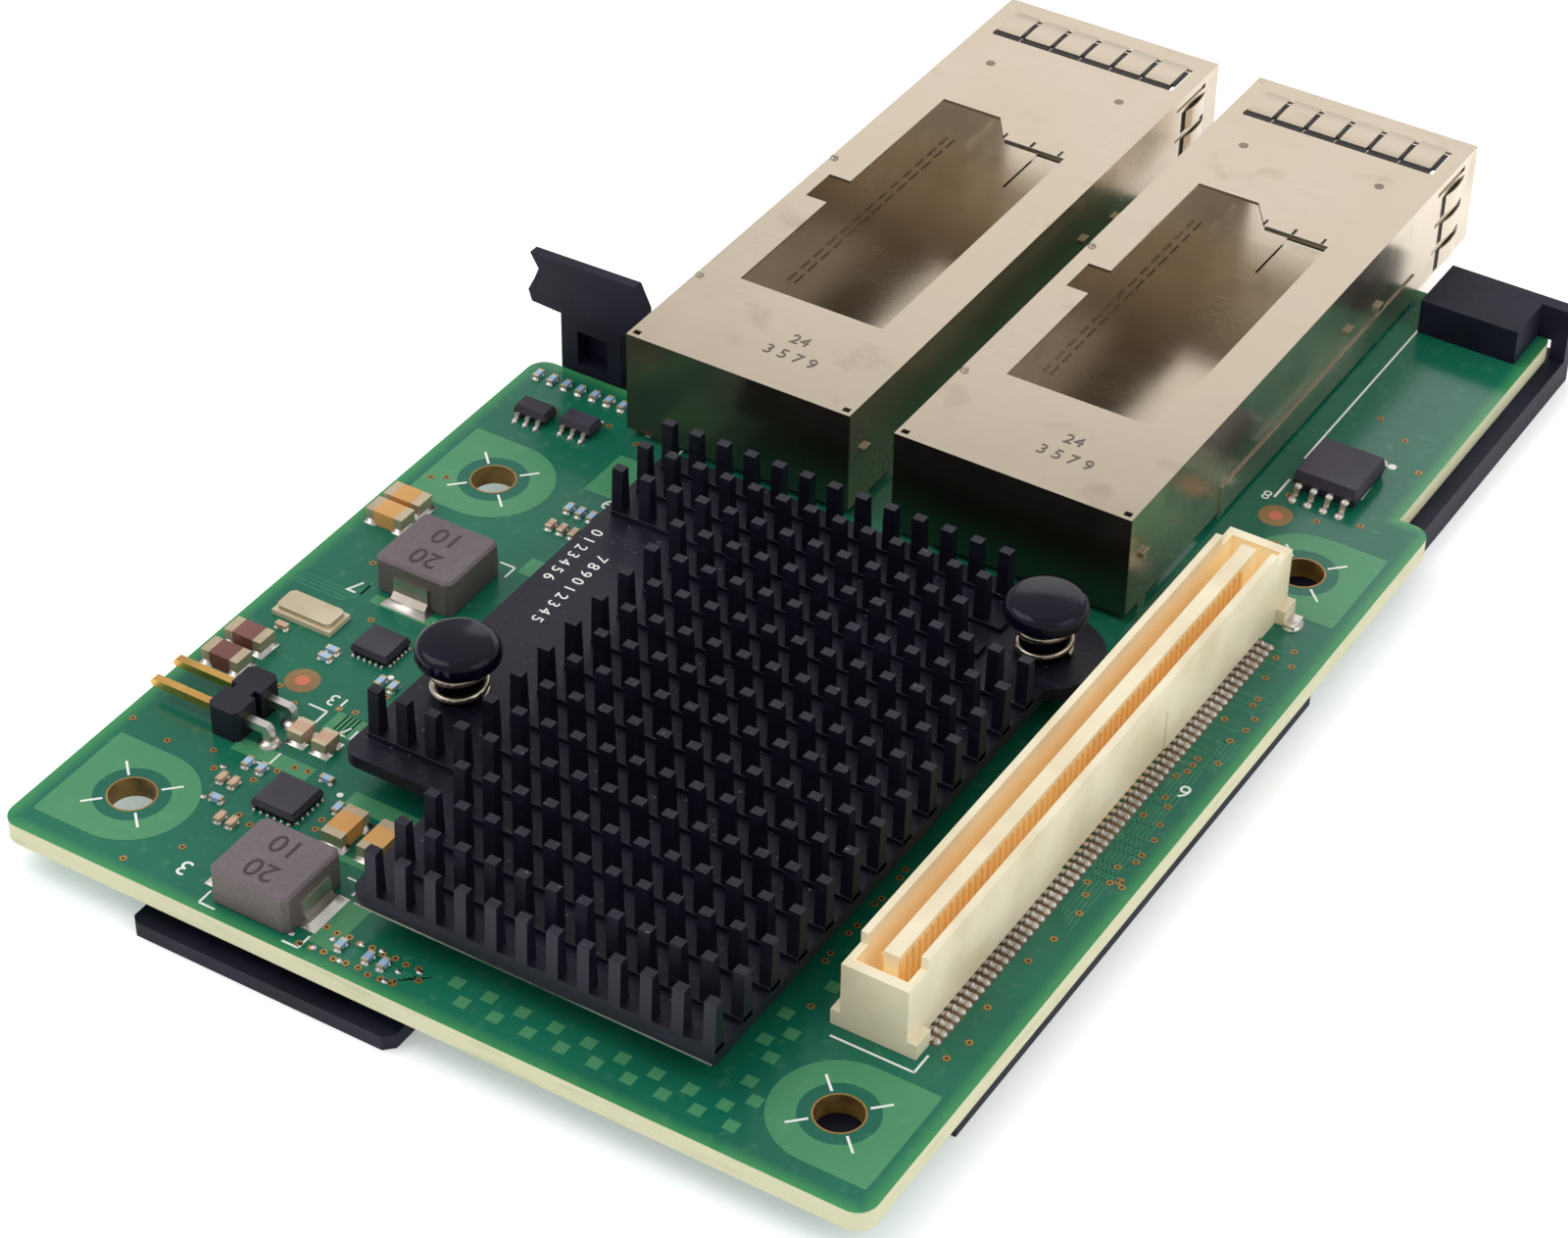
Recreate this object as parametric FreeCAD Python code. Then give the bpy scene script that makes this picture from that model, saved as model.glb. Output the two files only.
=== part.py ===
import FreeCAD, Part
import math
import os

# Two-port network adapter card on a small mezzanine board.
# Millimetres. X runs across the board, Y from the rear edge to the ports, Z up.
# Sizes below are measured from the board's rear left corner, on its top face.
# The finished pieces are moved so that the origin is the rear left mounting hole.

V = FreeCAD.Vector
os.makedirs("parts", exist_ok=True)

# Board
BOARD_W = 68.0
BOARD_L = 110.0
BOARD_T = 1.6
BOARD_CORNER_R = 1.5
LEFT_STEP_X = 8.6
LEFT_STEP_Y = 64.2
RIGHT_STEP_X = 2.7
RIGHT_STEP_Y = 81.5
HOLE_R = 1.65
HOLE_REAR_LEFT = (6.0, 6.8)
HOLE_REAR_RIGHT = (BOARD_W - 6.0, 6.8)
HOLE_FRONT_LEFT = (6.1, 49.3)
HOLE_FRONT_RIGHT = (BOARD_W - 6.0, 71.8)
FIT = 0.05

# Insulator plate under the board
PLATE_T = 1.2
PLATE_GAP = 1.2
PLATE_MARGIN = 0.7
PLATE_REAR = 3.6
PLATE_FRONT = LEFT_STEP_Y - 0.4
PLATE_CORNER = 0.7
PLATE_TAB_X = (11.4, 32.9)
PLATE_TAB_OUT = 0.8
PLATE_NOTCH = 5.6
PLATE_POST = 3.0

# Front bracket
BRACKET_BOTTOM = -(BOARD_T + PLATE_GAP + PLATE_T)
BRACKET_FRONT = 110.5
POST_X = (2.1, 7.6)
POST_BACK = LEFT_STEP_Y + 2 * FIT
POST_DEPTH = 3.0
POST_WALL = 1.5
WING_BACK = 63.9
WING_T = 0.9
WING_BOTTOM = 5.25
WING_TOP = 10.05
RAIL_T = 1.3
FOOT_BACK = 104.6
FOOT_TOP = 3.0
END_WALL_T = 1.2
BAR_BACK = 76.0

# Cages
CAGE_W = 19.4
CAGE_PITCH = 23.15
CAGE_X = 11.3
CAGE_BACK = 59.55
CAGE_L = 58.75
CAGE_TOP = 9.2
CAGE_LIFT = 0.6
SHEET = 0.25
WINDOW_X = (3.2, 15.7)
CAGE_RIGHT = CAGE_X + CAGE_PITCH + CAGE_W
CAGE_FRONT = CAGE_BACK + CAGE_L
WINDOW_BACK = CAGE_BACK + 10.85
WINDOW_FROM_MOUTH = 17.0
WINDOW_STEP = 2.9
WINDOW_FRONT_LEFT = CAGE_FRONT - WINDOW_FROM_MOUTH
WINDOW_FRONT_RIGHT = WINDOW_FRONT_LEFT - WINDOW_STEP
WINDOW_STEP_X = (8.4, 10.4)
NOTCH_X = 1.3
NOTCH_Y = (WINDOW_BACK + 12.6, WINDOW_BACK + 16.2)
FINGER_Y = (CAGE_FRONT - 5.8, CAGE_FRONT - 2.1)
FINGER_GAP = 0.5
FINGER_SLOT = 0.5
FINGER_FIRST_X = 3.9
FINGER_PITCH = 2.79
FINGER_COUNT = 6
SIDE_SLOTS_Z = (2.8, 5.3, 8.2)
SIDE_SLOT_Y = (CAGE_FRONT - 7.3, CAGE_FRONT - 2.3)
SIDE_SLOT = 0.4
CORNER_HOLE = (0.6, 0.5)
LEG_W = 1.2
LEG_PLACES = (0.035, 0.25, 0.48, 0.72)
LATCH_Y = (CAGE_FRONT - 14.3, CAGE_FRONT - 8.3)
LATCH_W = 4.4

# Bracket foot beside the right cage
FOOT_X = (CAGE_RIGHT + 2.15, CAGE_RIGHT + 10.35)

# Sockets inside the cages
SOCKET_W = 14.0
SOCKET_BACK = 61.4
SOCKET_DEPTH = 9.6
SOCKET_H = 5.6
SOCKET_MOUTH = (10.6, 6.5, 1.6)
SOCKET_MOUTH_Z = 2.9
SOCKET_CONTACT_COUNT = 10
SOCKET_CONTACT = 0.3
SOCKET_PITCH = 0.8

# Mezzanine connector
MEZZ_FROM_CAGE = 4.15
MEZZ_W = 4.95
MEZZ_X = (CAGE_RIGHT + MEZZ_FROM_CAGE, CAGE_RIGHT + MEZZ_FROM_CAGE + MEZZ_W)
MEZZ_Y = (13.4, 67.3)
MEZZ_TOP = 6.45
MEZZ_END_TOP = 5.5
MEZZ_END_L = 2.4
MEZZ_WALL = 0.55
MEZZ_SLOT = 1.35
MEZZ_TONGUE_TOP = 6.0
MEZZ_FLOOR = 1.5
MEZZ_LIFT = 0.3
MEZZ_FOOT_OUT = 0.7
MEZZ_FOOT_H = 1.25
MEZZ_FOOT_L = 1.8
CONTACT_COUNT = 60
CONTACT_PITCH = 0.8
CONTACT_FIRST_Y = 15.55
CONTACT_W = 0.36
CONTACT_T = 0.15
TAIL_OUT = 1.15
MEZZ_PANEL_Y = (33.8, 48.5)
MEZZ_PANEL_TOP = 3.8
MEZZ_PANEL_DEPTH = 0.12

# Heatsink
SINK_BOTTOM = 2.5
SINK_BASE_T = 1.0
SINK_RIB_H = 0.4
SINK_TOP = 7.5
SINK_LEFT = 17.7
SINK_TO_MEZZ = 3.4
SINK_RIGHT = MEZZ_X[0] - SINK_TO_MEZZ
SINK_BACK = 3.95
SINK_FRONT = 55.4
SINK_CUT_X = 26.4
SINK_CUT_Y = 14.9
PIN_SIZE = 0.9
PIN_FOOT = 1.1
PIN_TIP = 0.75
PIN_ROW_COUNT = 16
PIN_ROW_PITCH = 3.29
PIN_COLUMN_COUNT = 12
PIN_COLUMN_PITCH = 2.35
PIN_FIRST_X = SINK_RIGHT - PIN_SIZE / 2 - (PIN_COLUMN_COUNT - 1) * PIN_COLUMN_PITCH
SINK_CORNER = 1.2
CLIP_LEFT = (21.0, 24.2)
CLIP_RIGHT = (SINK_RIGHT - 2.2, 50.0)
CLIP_LOBE_R = 4.4
CLIP_SHANK_R = 1.45
CLIP_HOLE_R = 1.6
CLIP_HEAD_R = 3.05
CLIP_HEAD_BOTTOM = 6.7
CLIP_TOP = 8.3
CLIP_RIM_H = 0.9
CLIP_CROWN_R = 2.1
CLIP_BARB_L = 1.7
SPRING_R = 2.15
SPRING_WIRE = 0.4
SPRING_SIDE_COUNT = 16

# Controller under the heatsink
CHIP_X = (25.0, SINK_RIGHT - 4.6)
CHIP_Y = (17.0, 42.0)
CHIP_BASE_T = 1.0
CHIP_LID_T = 1.0
CHIP_LID_INSET = 2.5

# Parts on the board: centre x, centre y, length along x, length along y, height
INDUCTORS = [(20.2, 4.3, 6.4, 6.2, 3.0, "x"), (9.8, 37.1, 6.6, 6.4, 3.0, "y")]
POWER_CHIPS = [(15.4, 11.75, 3.6, 3.5, 0.9), (11.0, 28.4, 3.2, 3.0, 0.9)]
CRYSTAL = (4.55, 28.85, 5.1, 2.5, 0.8)
FLASH = (CAGE_RIGHT + 5.55, 83.3, 5.2, 5.2, 1.7)
SMALL_CHIPS = [(4.2, 57.6, 2.9, 1.7, 1.1), (8.0, 58.1, 2.9, 1.7, 1.1)]
BIG_CAPS_TAN = [(20.65, 11.25, "y"), (23.55, 11.3, "y"), (2.8, 43.1, "x"), (2.8, 40.9, "x")]
BIG_CAPS_BROWN = [(2.8, 24.05, "x"), (2.8, 21.4, "x")]
BIG_CAP_SIZE = (3.2, 1.7, 1.25)
MEDIUM_CAPS = [(12.15, 17.7, "y"), (14.2, 17.7, "y"), (MEZZ_X[0] - 1.9, 31.2, "y")]
MEDIUM_CAP_SIZE = (1.7, 1.2, 1.1)
CHIP_CAPS_TAN = [(10.2, 11.3, "y"), (11.2, 11.3, "y"), (12.6, 8.0, "y"), (13.6, 8.0, "y"),
                 (3.6, 26.7, "x"), (13.0, 46.8, "y"), (14.0, 46.8, "y"), (15.0, 46.8, "y")]
CHIP_CAPS_BLUE = [(10.7, 13.5, "y"), (11.9, 13.5, "y"), (18.7, 13.0, "y"), (11.2, 9.4, "x"),
                  (26.9, 2.3, "y"), (29.1, 2.3, "y"), (30.3, 2.3, "y"), (8.3, 25.5, "x"),
                  (8.3, 26.4, "x"), (16.3, 15.0, "x"), (13.2, 25.4, "y"), (14.3, 25.4, "y")]
RESISTORS = [(13.0, 49.2, "y"), (14.0, 49.2, "y"), (15.0, 49.2, "y")]
RESISTOR_ROW = (1.4, 62.1, 1.3, 7)
CHIP_PART_SIZE = (1.0, 0.5, 0.4)

# Two-pin header
HEADER_Y = (16.06, 18.6)
HEADER_TIP = 0.6
HEADER_BODY_X = (6.3, 8.8)
HEADER_BODY_H = 2.54
HEADER_PIN = 0.64
HEADER_PIN_Z = 1.3
HEADER_BEND_X = 10.6


def block(x0, x1, y0, y1, z0, z1):
    return Part.makeBox(x1 - x0, y1 - y0, z1 - z0, V(x0, y0, z0))


def centred(x, y, wide, long, z0, z1):
    return block(x - wide / 2, x + wide / 2, y - long / 2, y + long / 2, z0, z1)


def rod(x, y, radius, z0, z1):
    return Part.makeCylinder(radius, z1 - z0, V(x, y, z0))


def prism(points, z0, z1):
    corners = [V(x, y, z0) for x, y in points]
    face = Part.Face(Part.makePolygon(corners + corners[:1]))
    return face.extrude(V(0, 0, z1 - z0))


def profile_xz(points, y, wide):
    corners = [V(x, y - wide / 2, z) for x, z in points]
    face = Part.Face(Part.makePolygon(corners + corners[:1]))
    return face.extrude(V(0, wide, 0))


def profile_yz(points, x, wide):
    corners = [V(x - wide / 2, y, z) for y, z in points]
    face = Part.Face(Part.makePolygon(corners + corners[:1]))
    return face.extrude(V(wide, 0, 0))


def fuse(shapes):
    return shapes[0].fuse(shapes[1:]).removeSplitter()


def uprights(shape, wanted):
    # The upright edges for which wanted(x, y) is true
    edges = []
    for edge in shape.Edges:
        middle = edge.CenterOfMass
        upright = abs(edge.Vertexes[0].X - edge.Vertexes[-1].X) < 1e-6
        upright = upright and abs(edge.Vertexes[0].Y - edge.Vertexes[-1].Y) < 1e-6
        if upright and edge.Length > 1e-6 and wanted(middle.x, middle.y):
            edges.append(edge)
    return edges


def round_uprights(shape, radius, wanted):
    return shape.makeFillet(radius, uprights(shape, wanted))


def trim_uprights(shape, size, wanted):
    return shape.makeChamfer(size, uprights(shape, wanted))


def save(name, shapes):
    # A node is one solid or a group of separate solids.
    group = Part.makeCompound(shapes) if isinstance(shapes, list) else shapes
    group = group.copy()
    group.translate(V(-HOLE_REAR_LEFT[0], -HOLE_REAR_LEFT[1], 0))
    group.exportStep("parts/" + name + ".step")
    size = group.BoundBox
    print(name, len(group.Solids), "solids", round(size.XLength, 2), round(size.YLength, 2), round(size.ZLength, 2))


def mounting_holes():
    return [HOLE_REAR_LEFT, HOLE_REAR_RIGHT, HOLE_FRONT_LEFT, HOLE_FRONT_RIGHT]


def make_board():
    right = BOARD_W - RIGHT_STEP_X
    outline = [(0, 0), (BOARD_W, 0), (BOARD_W, RIGHT_STEP_Y), (right, RIGHT_STEP_Y), (right, BOARD_L),
               (LEFT_STEP_X, BOARD_L), (LEFT_STEP_X, LEFT_STEP_Y), (0, LEFT_STEP_Y)]
    board = prism(outline, -BOARD_T, 0)
    outer = [(0, 0), (BOARD_W, 0), (BOARD_W, RIGHT_STEP_Y), (right, BOARD_L), (LEFT_STEP_X, BOARD_L), (0, LEFT_STEP_Y)]
    board = round_uprights(board, BOARD_CORNER_R, lambda x, y: any(math.hypot(x - a, y - b) < 0.01 for a, b in outer))
    cutters = [rod(x, y, HOLE_R, -BOARD_T - 1, 1) for x, y in mounting_holes()]
    cutters += [rod(x, y, CLIP_HOLE_R, -BOARD_T - 1, 1) for x, y in (CLIP_LEFT, CLIP_RIGHT)]
    pin_hole_r = HEADER_PIN * math.sqrt(0.5) + FIT
    cutters += [rod(HEADER_BEND_X, y, pin_hole_r, -BOARD_T - 1, 1) for y in HEADER_Y]
    return board.cut(cutters)


def make_plate():
    top = -(BOARD_T + PLATE_GAP)
    bottom = top - PLATE_T
    plate = block(PLATE_MARGIN, BOARD_W - PLATE_MARGIN, PLATE_REAR, PLATE_FRONT, bottom, top)
    plate = plate.fuse(block(PLATE_TAB_X[0], PLATE_TAB_X[1], -PLATE_TAB_OUT, PLATE_REAR + 1, bottom, top))
    plate = plate.removeSplitter()
    plate = trim_uprights(plate, PLATE_CORNER, lambda x, y: y < 0 or y > PLATE_FRONT - 0.1)
    # Open notches leave room for the host's standoffs, and square windows for the push pins' tips
    reach = 2 * PLATE_NOTCH
    cutters = []
    for x, y in mounting_holes():
        outward = -1 if x < BOARD_W / 2 else 1
        low, high = sorted((x - outward * PLATE_NOTCH, x + outward * reach))
        back = y - reach if y < reach else y - PLATE_NOTCH
        cutters.append(block(low, high, back, y + PLATE_NOTCH, bottom - 1, top + 1))
    window = 2 * CLIP_HEAD_R
    cutters += [centred(x, y, window, window, bottom - 1, top + 1) for x, y in (CLIP_LEFT, CLIP_RIGHT)]
    cutters.append(block(HEADER_BEND_X - 2, HEADER_BEND_X + 2, HEADER_Y[0] - 2, HEADER_Y[1] + 2, bottom - 1, top + 1))
    plate = plate.cut(cutters)
    posts = []
    for x in (16.0, BOARD_W / 2, BOARD_W - 4.0):
        for y in (14.0, PLATE_FRONT / 2, PLATE_FRONT - 4.0):
            posts.append(centred(x, y, PLATE_POST, PLATE_POST, top - 0.1, -BOARD_T))
    return fuse([plate] + posts)


def make_bracket():
    left = LEFT_STEP_X
    right = BOARD_W - RIGHT_STEP_X
    under = -BOARD_T
    # The bar that crosses under the board, and the two side walls that wrap its edges
    outer = right + FIT + RAIL_T
    pieces = [block(left - RAIL_T, outer, BAR_BACK, BRACKET_FRONT, BRACKET_BOTTOM, under)]
    pieces.append(block(left - RAIL_T, left - FIT, POST_BACK, BRACKET_FRONT, BRACKET_BOTTOM, 0))
    pieces.append(block(right + FIT, outer, RIGHT_STEP_Y + 0.3, BRACKET_FRONT, BRACKET_BOTTOM, under))
    # Post beside the left cage, hollowed from the back
    post = block(POST_X[0], POST_X[1], POST_BACK, POST_BACK + POST_DEPTH, BRACKET_BOTTOM, WING_BOTTOM + 0.1)
    recess = block(POST_X[0] + POST_WALL, POST_X[1] - RAIL_T, POST_BACK - 1, POST_BACK + POST_DEPTH / 2,
                   POST_WALL / 2, WING_BOTTOM - POST_WALL)
    pieces.append(post.cut(recess))
    # Wing above the post, with the wavy left edge
    wing = [(POST_X[0], WING_BOTTOM), (-0.3, 5.4), (-0.6, 6.4), (0.0, 7.6), (0.4, 8.6), (-0.35, 9.85),
            (9.2, WING_TOP), (10.1, 8.1), (10.1, WING_BOTTOM)]
    pieces.append(profile_xz(wing, WING_BACK + WING_T / 2, WING_T))
    # Foot block at the right front corner and the end wall that joins it to the side wall
    pieces.append(block(FOOT_X[0], FOOT_X[1], FOOT_BACK, BRACKET_FRONT, 0, FOOT_TOP))
    end_back = BRACKET_FRONT - END_WALL_T
    pieces.append(block(FOOT_X[0], outer, end_back, BRACKET_FRONT, 0, FOOT_TOP))
    pieces.append(block(right + FIT, outer, end_back, BRACKET_FRONT, BRACKET_BOTTOM, FOOT_TOP))
    return fuse(pieces)


def make_cage(x0):
    x1 = x0 + CAGE_W
    cage = block(x0, x1, CAGE_BACK, CAGE_FRONT, CAGE_LIFT, CAGE_TOP)
    inside = block(x0 + SHEET, x1 - SHEET, CAGE_BACK + SHEET, CAGE_FRONT + 1, CAGE_LIFT - 1, CAGE_TOP - SHEET)
    cage = cage.cut(inside)
    above = CAGE_TOP + 1
    below = CAGE_TOP - SHEET - 0.3
    step_l, step_r = WINDOW_STEP_X
    window = [(x0 + WINDOW_X[0], WINDOW_BACK), (x0 + WINDOW_X[1], WINDOW_BACK),
              (x0 + WINDOW_X[1], WINDOW_FRONT_RIGHT), (x0 + step_r, WINDOW_FRONT_RIGHT),
              (x0 + step_l, WINDOW_FRONT_LEFT), (x0 + WINDOW_X[0], WINDOW_FRONT_LEFT)]
    cutters = [prism(window, below, above)]
    cutters.append(block(x0 + NOTCH_X, x0 + WINDOW_X[0] + 1, NOTCH_Y[0], NOTCH_Y[1], below, above))
    for step in range(FINGER_COUNT):
        x = x0 + FINGER_FIRST_X + step * FINGER_PITCH
        cutters.append(block(x - FINGER_SLOT / 2, x + FINGER_SLOT / 2, FINGER_Y[0], FINGER_Y[1], below, above))
    cutters.append(block(x0 + NOTCH_X, x1 - NOTCH_X, FINGER_Y[0], FINGER_Y[0] + FINGER_GAP, below, above))
    for z in SIDE_SLOTS_Z:
        cutters.append(block(x0 - 1, x1 + 1, SIDE_SLOT_Y[0], SIDE_SLOT_Y[1], z, z + SIDE_SLOT))
    wide, long = CORNER_HOLE
    for x in (x0 + wide, x1 - wide):
        cutters.append(centred(x, CAGE_BACK + wide, wide, long, below, above))
    cage = cage.cut(cutters)
    # Short legs that stand on the board
    legs = []
    for x in (x0, x1 - SHEET):
        for share in LEG_PLACES:
            y = CAGE_BACK + share * CAGE_L
            legs.append(block(x, x + SHEET, y, y + LEG_W, 0, CAGE_LIFT + 0.1))
    return fuse([cage] + legs)


def make_cage_floor(x0):
    x1 = x0 + CAGE_W - SHEET
    floor = block(x0 + SHEET, x1, SOCKET_BACK + SOCKET_DEPTH + 1, CAGE_FRONT, CAGE_LIFT, CAGE_LIFT + SHEET)
    middle = x0 + CAGE_W / 2
    latch = block(middle - LATCH_W / 2, middle + LATCH_W / 2, LATCH_Y[0], LATCH_Y[1], CAGE_LIFT - 1, CAGE_LIFT + 1)
    return floor.cut(latch)


def make_socket(x0):
    middle = x0 + CAGE_W / 2
    wide, deep, tall = SOCKET_MOUTH
    front = SOCKET_BACK + SOCKET_DEPTH
    body = block(middle - SOCKET_W / 2, middle + SOCKET_W / 2, SOCKET_BACK, front, 0, SOCKET_H)
    mouth = block(middle - wide / 2, middle + wide / 2, front - deep, front + 1,
                  SOCKET_MOUTH_Z - tall / 2, SOCKET_MOUTH_Z + tall / 2)
    nose = block(middle - SOCKET_W / 2 - 1, middle + SOCKET_W / 2 + 1, front - 3, front + 1, -1, 0.9)
    return body.cut([mouth, nose])


def make_socket_contacts(x0):
    wide, deep, tall = SOCKET_MOUTH
    middle = x0 + CAGE_W / 2
    front = SOCKET_BACK + SOCKET_DEPTH
    contacts = []
    for step in range(SOCKET_CONTACT_COUNT):
        x = middle + (step - (SOCKET_CONTACT_COUNT - 1) / 2) * SOCKET_PITCH
        for side in (-1, 1):
            edge = SOCKET_MOUTH_Z + side * tall / 2
            low, high = sorted((edge, edge - side * SOCKET_CONTACT))
            contacts.append(centred(x, front - deep / 2 - 0.5, SOCKET_CONTACT, deep - 1.2, low, high))
    return contacts


def pin_places():
    # The pins that the cut corner, the bare strip and the right clip leave.
    places = []
    for row in range(PIN_ROW_COUNT):
        y = SINK_BACK + row * PIN_ROW_PITCH + PIN_FOOT / 2
        extra_count = 0
        if row == 4 or row >= 13:
            extra_count = 4
        elif row > 4:
            extra_count = 1
        for column in range(-extra_count, PIN_COLUMN_COUNT):
            x = PIN_FIRST_X + column * PIN_COLUMN_PITCH
            if x > CLIP_RIGHT[0] - CLIP_LOBE_R + 1 and y > CLIP_RIGHT[1] - CLIP_LOBE_R:
                continue
            left = SINK_CUT_X if y < SINK_CUT_Y else SINK_LEFT
            near_clip = math.hypot(x - CLIP_LEFT[0], y - CLIP_LEFT[1]) < CLIP_LOBE_R
            if x - PIN_SIZE / 2 < left or near_clip:
                continue
            places.append((row, x, y))
    return places


def make_heatsink():
    top = SINK_BOTTOM + SINK_BASE_T
    clip_x, clip_y = CLIP_RIGHT
    outline = [(SINK_CUT_X, SINK_BACK), (SINK_RIGHT, SINK_BACK),
               (SINK_RIGHT, clip_y), (clip_x, clip_y), (clip_x, clip_y + CLIP_LOBE_R),
               (clip_x - 2, SINK_FRONT), (SINK_LEFT, SINK_FRONT), (SINK_LEFT, SINK_CUT_Y), (SINK_CUT_X, SINK_CUT_Y)]
    base = prism(outline, SINK_BOTTOM, top)
    base = base.fuse(rod(clip_x, clip_y, CLIP_LOBE_R, SINK_BOTTOM, top)).removeSplitter()
    rounded = [(SINK_LEFT, SINK_CUT_Y), (SINK_LEFT, SINK_FRONT), (SINK_CUT_X, SINK_CUT_Y), (SINK_CUT_X, SINK_BACK)]
    base = round_uprights(base, SINK_CORNER, lambda x, y: any(math.hypot(x - a, y - b) < 0.01 for a, b in rounded))
    base = base.cut([rod(x, y, CLIP_HOLE_R, 0, top + 1) for x, y in (CLIP_LEFT, CLIP_RIGHT)])
    # A low rib runs under each row of pins
    places = pin_places()
    pieces = [base]
    for row in range(PIN_ROW_COUNT):
        xs = [x for r, x, y in places if r == row]
        y = SINK_BACK + row * PIN_ROW_PITCH + PIN_FOOT / 2
        if xs:
            first = min(xs) - PIN_SIZE / 2
            last = max(xs) + PIN_SIZE / 2
            rib_top = top + SINK_RIB_H
            comb = [(first, top), (last, top), (last, SINK_TOP)]
            for x in sorted(xs, reverse=True)[:-1]:
                comb += [(x - PIN_SIZE / 2, SINK_TOP), (x - PIN_SIZE / 2, rib_top)]
                comb += [(x - PIN_COLUMN_PITCH + PIN_SIZE / 2, rib_top), (x - PIN_COLUMN_PITCH + PIN_SIZE / 2, SINK_TOP)]
            comb.append((first, SINK_TOP))
            # The fins narrow towards their tips
            draft = [(y - PIN_FOOT / 2, top - 1), (y + PIN_FOOT / 2, top - 1), (y + PIN_FOOT / 2, top),
                     (y + PIN_TIP / 2, SINK_TOP + FIT), (y - PIN_TIP / 2, SINK_TOP + FIT), (y - PIN_FOOT / 2, top)]
            fin = profile_yz(draft, (first + last) / 2, last - first + 1)
            pieces.append(profile_xz(comb, y, PIN_FOOT).common(fin))
    return pieces[0].fuse(pieces[1:])


def make_clip(x, y):
    # Button head with a crowned top, shank through the heatsink and the board, and a barbed tip below
    under = -BOARD_T
    rim_top = CLIP_HEAD_BOTTOM + CLIP_RIM_H
    rim = rod(x, y, CLIP_HEAD_R, CLIP_HEAD_BOTTOM, rim_top)
    crown = Part.makeCone(CLIP_HEAD_R, CLIP_CROWN_R, CLIP_TOP - rim_top, V(x, y, rim_top))
    shank = rod(x, y, CLIP_SHANK_R, under - 0.1, CLIP_HEAD_BOTTOM)
    barb = Part.makeCone(0.7, CLIP_HOLE_R + 0.3, CLIP_BARB_L, V(x, y, under - CLIP_BARB_L - FIT))
    return fuse([rim, crown, shank, barb])


def ring_points(x, y, radius, count):
    turn = 2 * math.pi / count
    return [(x + radius * math.cos(step * turn), y + radius * math.sin(step * turn)) for step in range(count)]


def make_spring(x, y):
    # The coil's envelope, a sleeve with flat sides
    low = SINK_BOTTOM + SINK_BASE_T
    outer = prism(ring_points(x, y, SPRING_R, SPRING_SIDE_COUNT), low, CLIP_HEAD_BOTTOM)
    inner = prism(ring_points(x, y, SPRING_R - SPRING_WIRE, SPRING_SIDE_COUNT), low - 1, CLIP_HEAD_BOTTOM + 1)
    return outer.cut(inner)


def make_mezz_housing():
    x0, x1 = MEZZ_X
    y0, y1 = MEZZ_Y
    middle = (x0 + x1) / 2
    last_y = CONTACT_FIRST_Y + (CONTACT_COUNT - 1) * CONTACT_PITCH
    body = block(x0, x1, y0, y1, 0, MEZZ_END_TOP)
    body = body.fuse(block(x0, x1, y0 + MEZZ_END_L, y1 - MEZZ_END_L, MEZZ_END_TOP - 1, MEZZ_TOP))
    feet = [block(x0 - MEZZ_FOOT_OUT, x1 + MEZZ_FOOT_OUT, y0, y0 + MEZZ_FOOT_L, 0, MEZZ_FOOT_H),
            block(x0 - MEZZ_FOOT_OUT, x1 + MEZZ_FOOT_OUT, y1 - MEZZ_FOOT_L, y1, 0, MEZZ_FOOT_H)]
    body = fuse([body] + feet)
    tongue_half = (x1 - x0) / 2 - MEZZ_WALL - MEZZ_SLOT
    slot = block(x0 + MEZZ_WALL, x1 - MEZZ_WALL, y0 + 0.8, y1 - 0.8, MEZZ_FLOOR, MEZZ_TOP + 1)
    tongue = block(middle - tongue_half, middle + tongue_half, y0 + MEZZ_END_L - 0.4, y1 - MEZZ_END_L + 0.4,
                   MEZZ_FLOOR - 0.1, MEZZ_TONGUE_TOP)
    body = body.cut(slot).fuse(tongue).removeSplitter()
    # Room below the walls for the contact tails, and a channel up each side of the tongue
    tails = block(x0 - 1, x1 + 1, CONTACT_FIRST_Y - 0.5, last_y + 0.5, -1, MEZZ_LIFT)
    channels = []
    for side in (-1, 1):
        near = middle + side * tongue_half
        far = near + side * (CONTACT_T + FIT)
        low, high = sorted((near, far))
        channels.append(block(low, high, CONTACT_FIRST_Y - 0.3, last_y + 0.3, -1, MEZZ_FLOOR + 0.1))
    panel = block(x1 - MEZZ_PANEL_DEPTH, x1 + 1, MEZZ_PANEL_Y[0], MEZZ_PANEL_Y[1], MEZZ_LIFT - 1, MEZZ_PANEL_TOP)
    return body.cut([tails, panel] + channels)


def make_mezz_contacts(side):
    x0, x1 = MEZZ_X
    middle = (x0 + x1) / 2
    near = (x1 - x0) / 2 - MEZZ_WALL - MEZZ_SLOT
    out = (x1 - x0) / 2 + TAIL_OUT
    points = [(near, 0), (out, 0), (out, CONTACT_T), (near + CONTACT_T, CONTACT_T),
              (near + CONTACT_T, MEZZ_TONGUE_TOP - 0.3), (near, MEZZ_TONGUE_TOP - 0.3)]
    points = [(middle + side * x, z) for x, z in points]
    return [profile_xz(points, CONTACT_FIRST_Y + step * CONTACT_PITCH, CONTACT_W) for step in range(CONTACT_COUNT)]


def make_hold_downs():
    x0, x1 = MEZZ_X
    tabs = []
    for x in (x0 - MEZZ_FOOT_OUT - 0.45, x1 + MEZZ_FOOT_OUT + 0.45):
        tabs.append(centred(x, MEZZ_Y[1] - MEZZ_END_L / 2, 0.9, 1.6, 0, 0.3))
    return tabs


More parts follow.
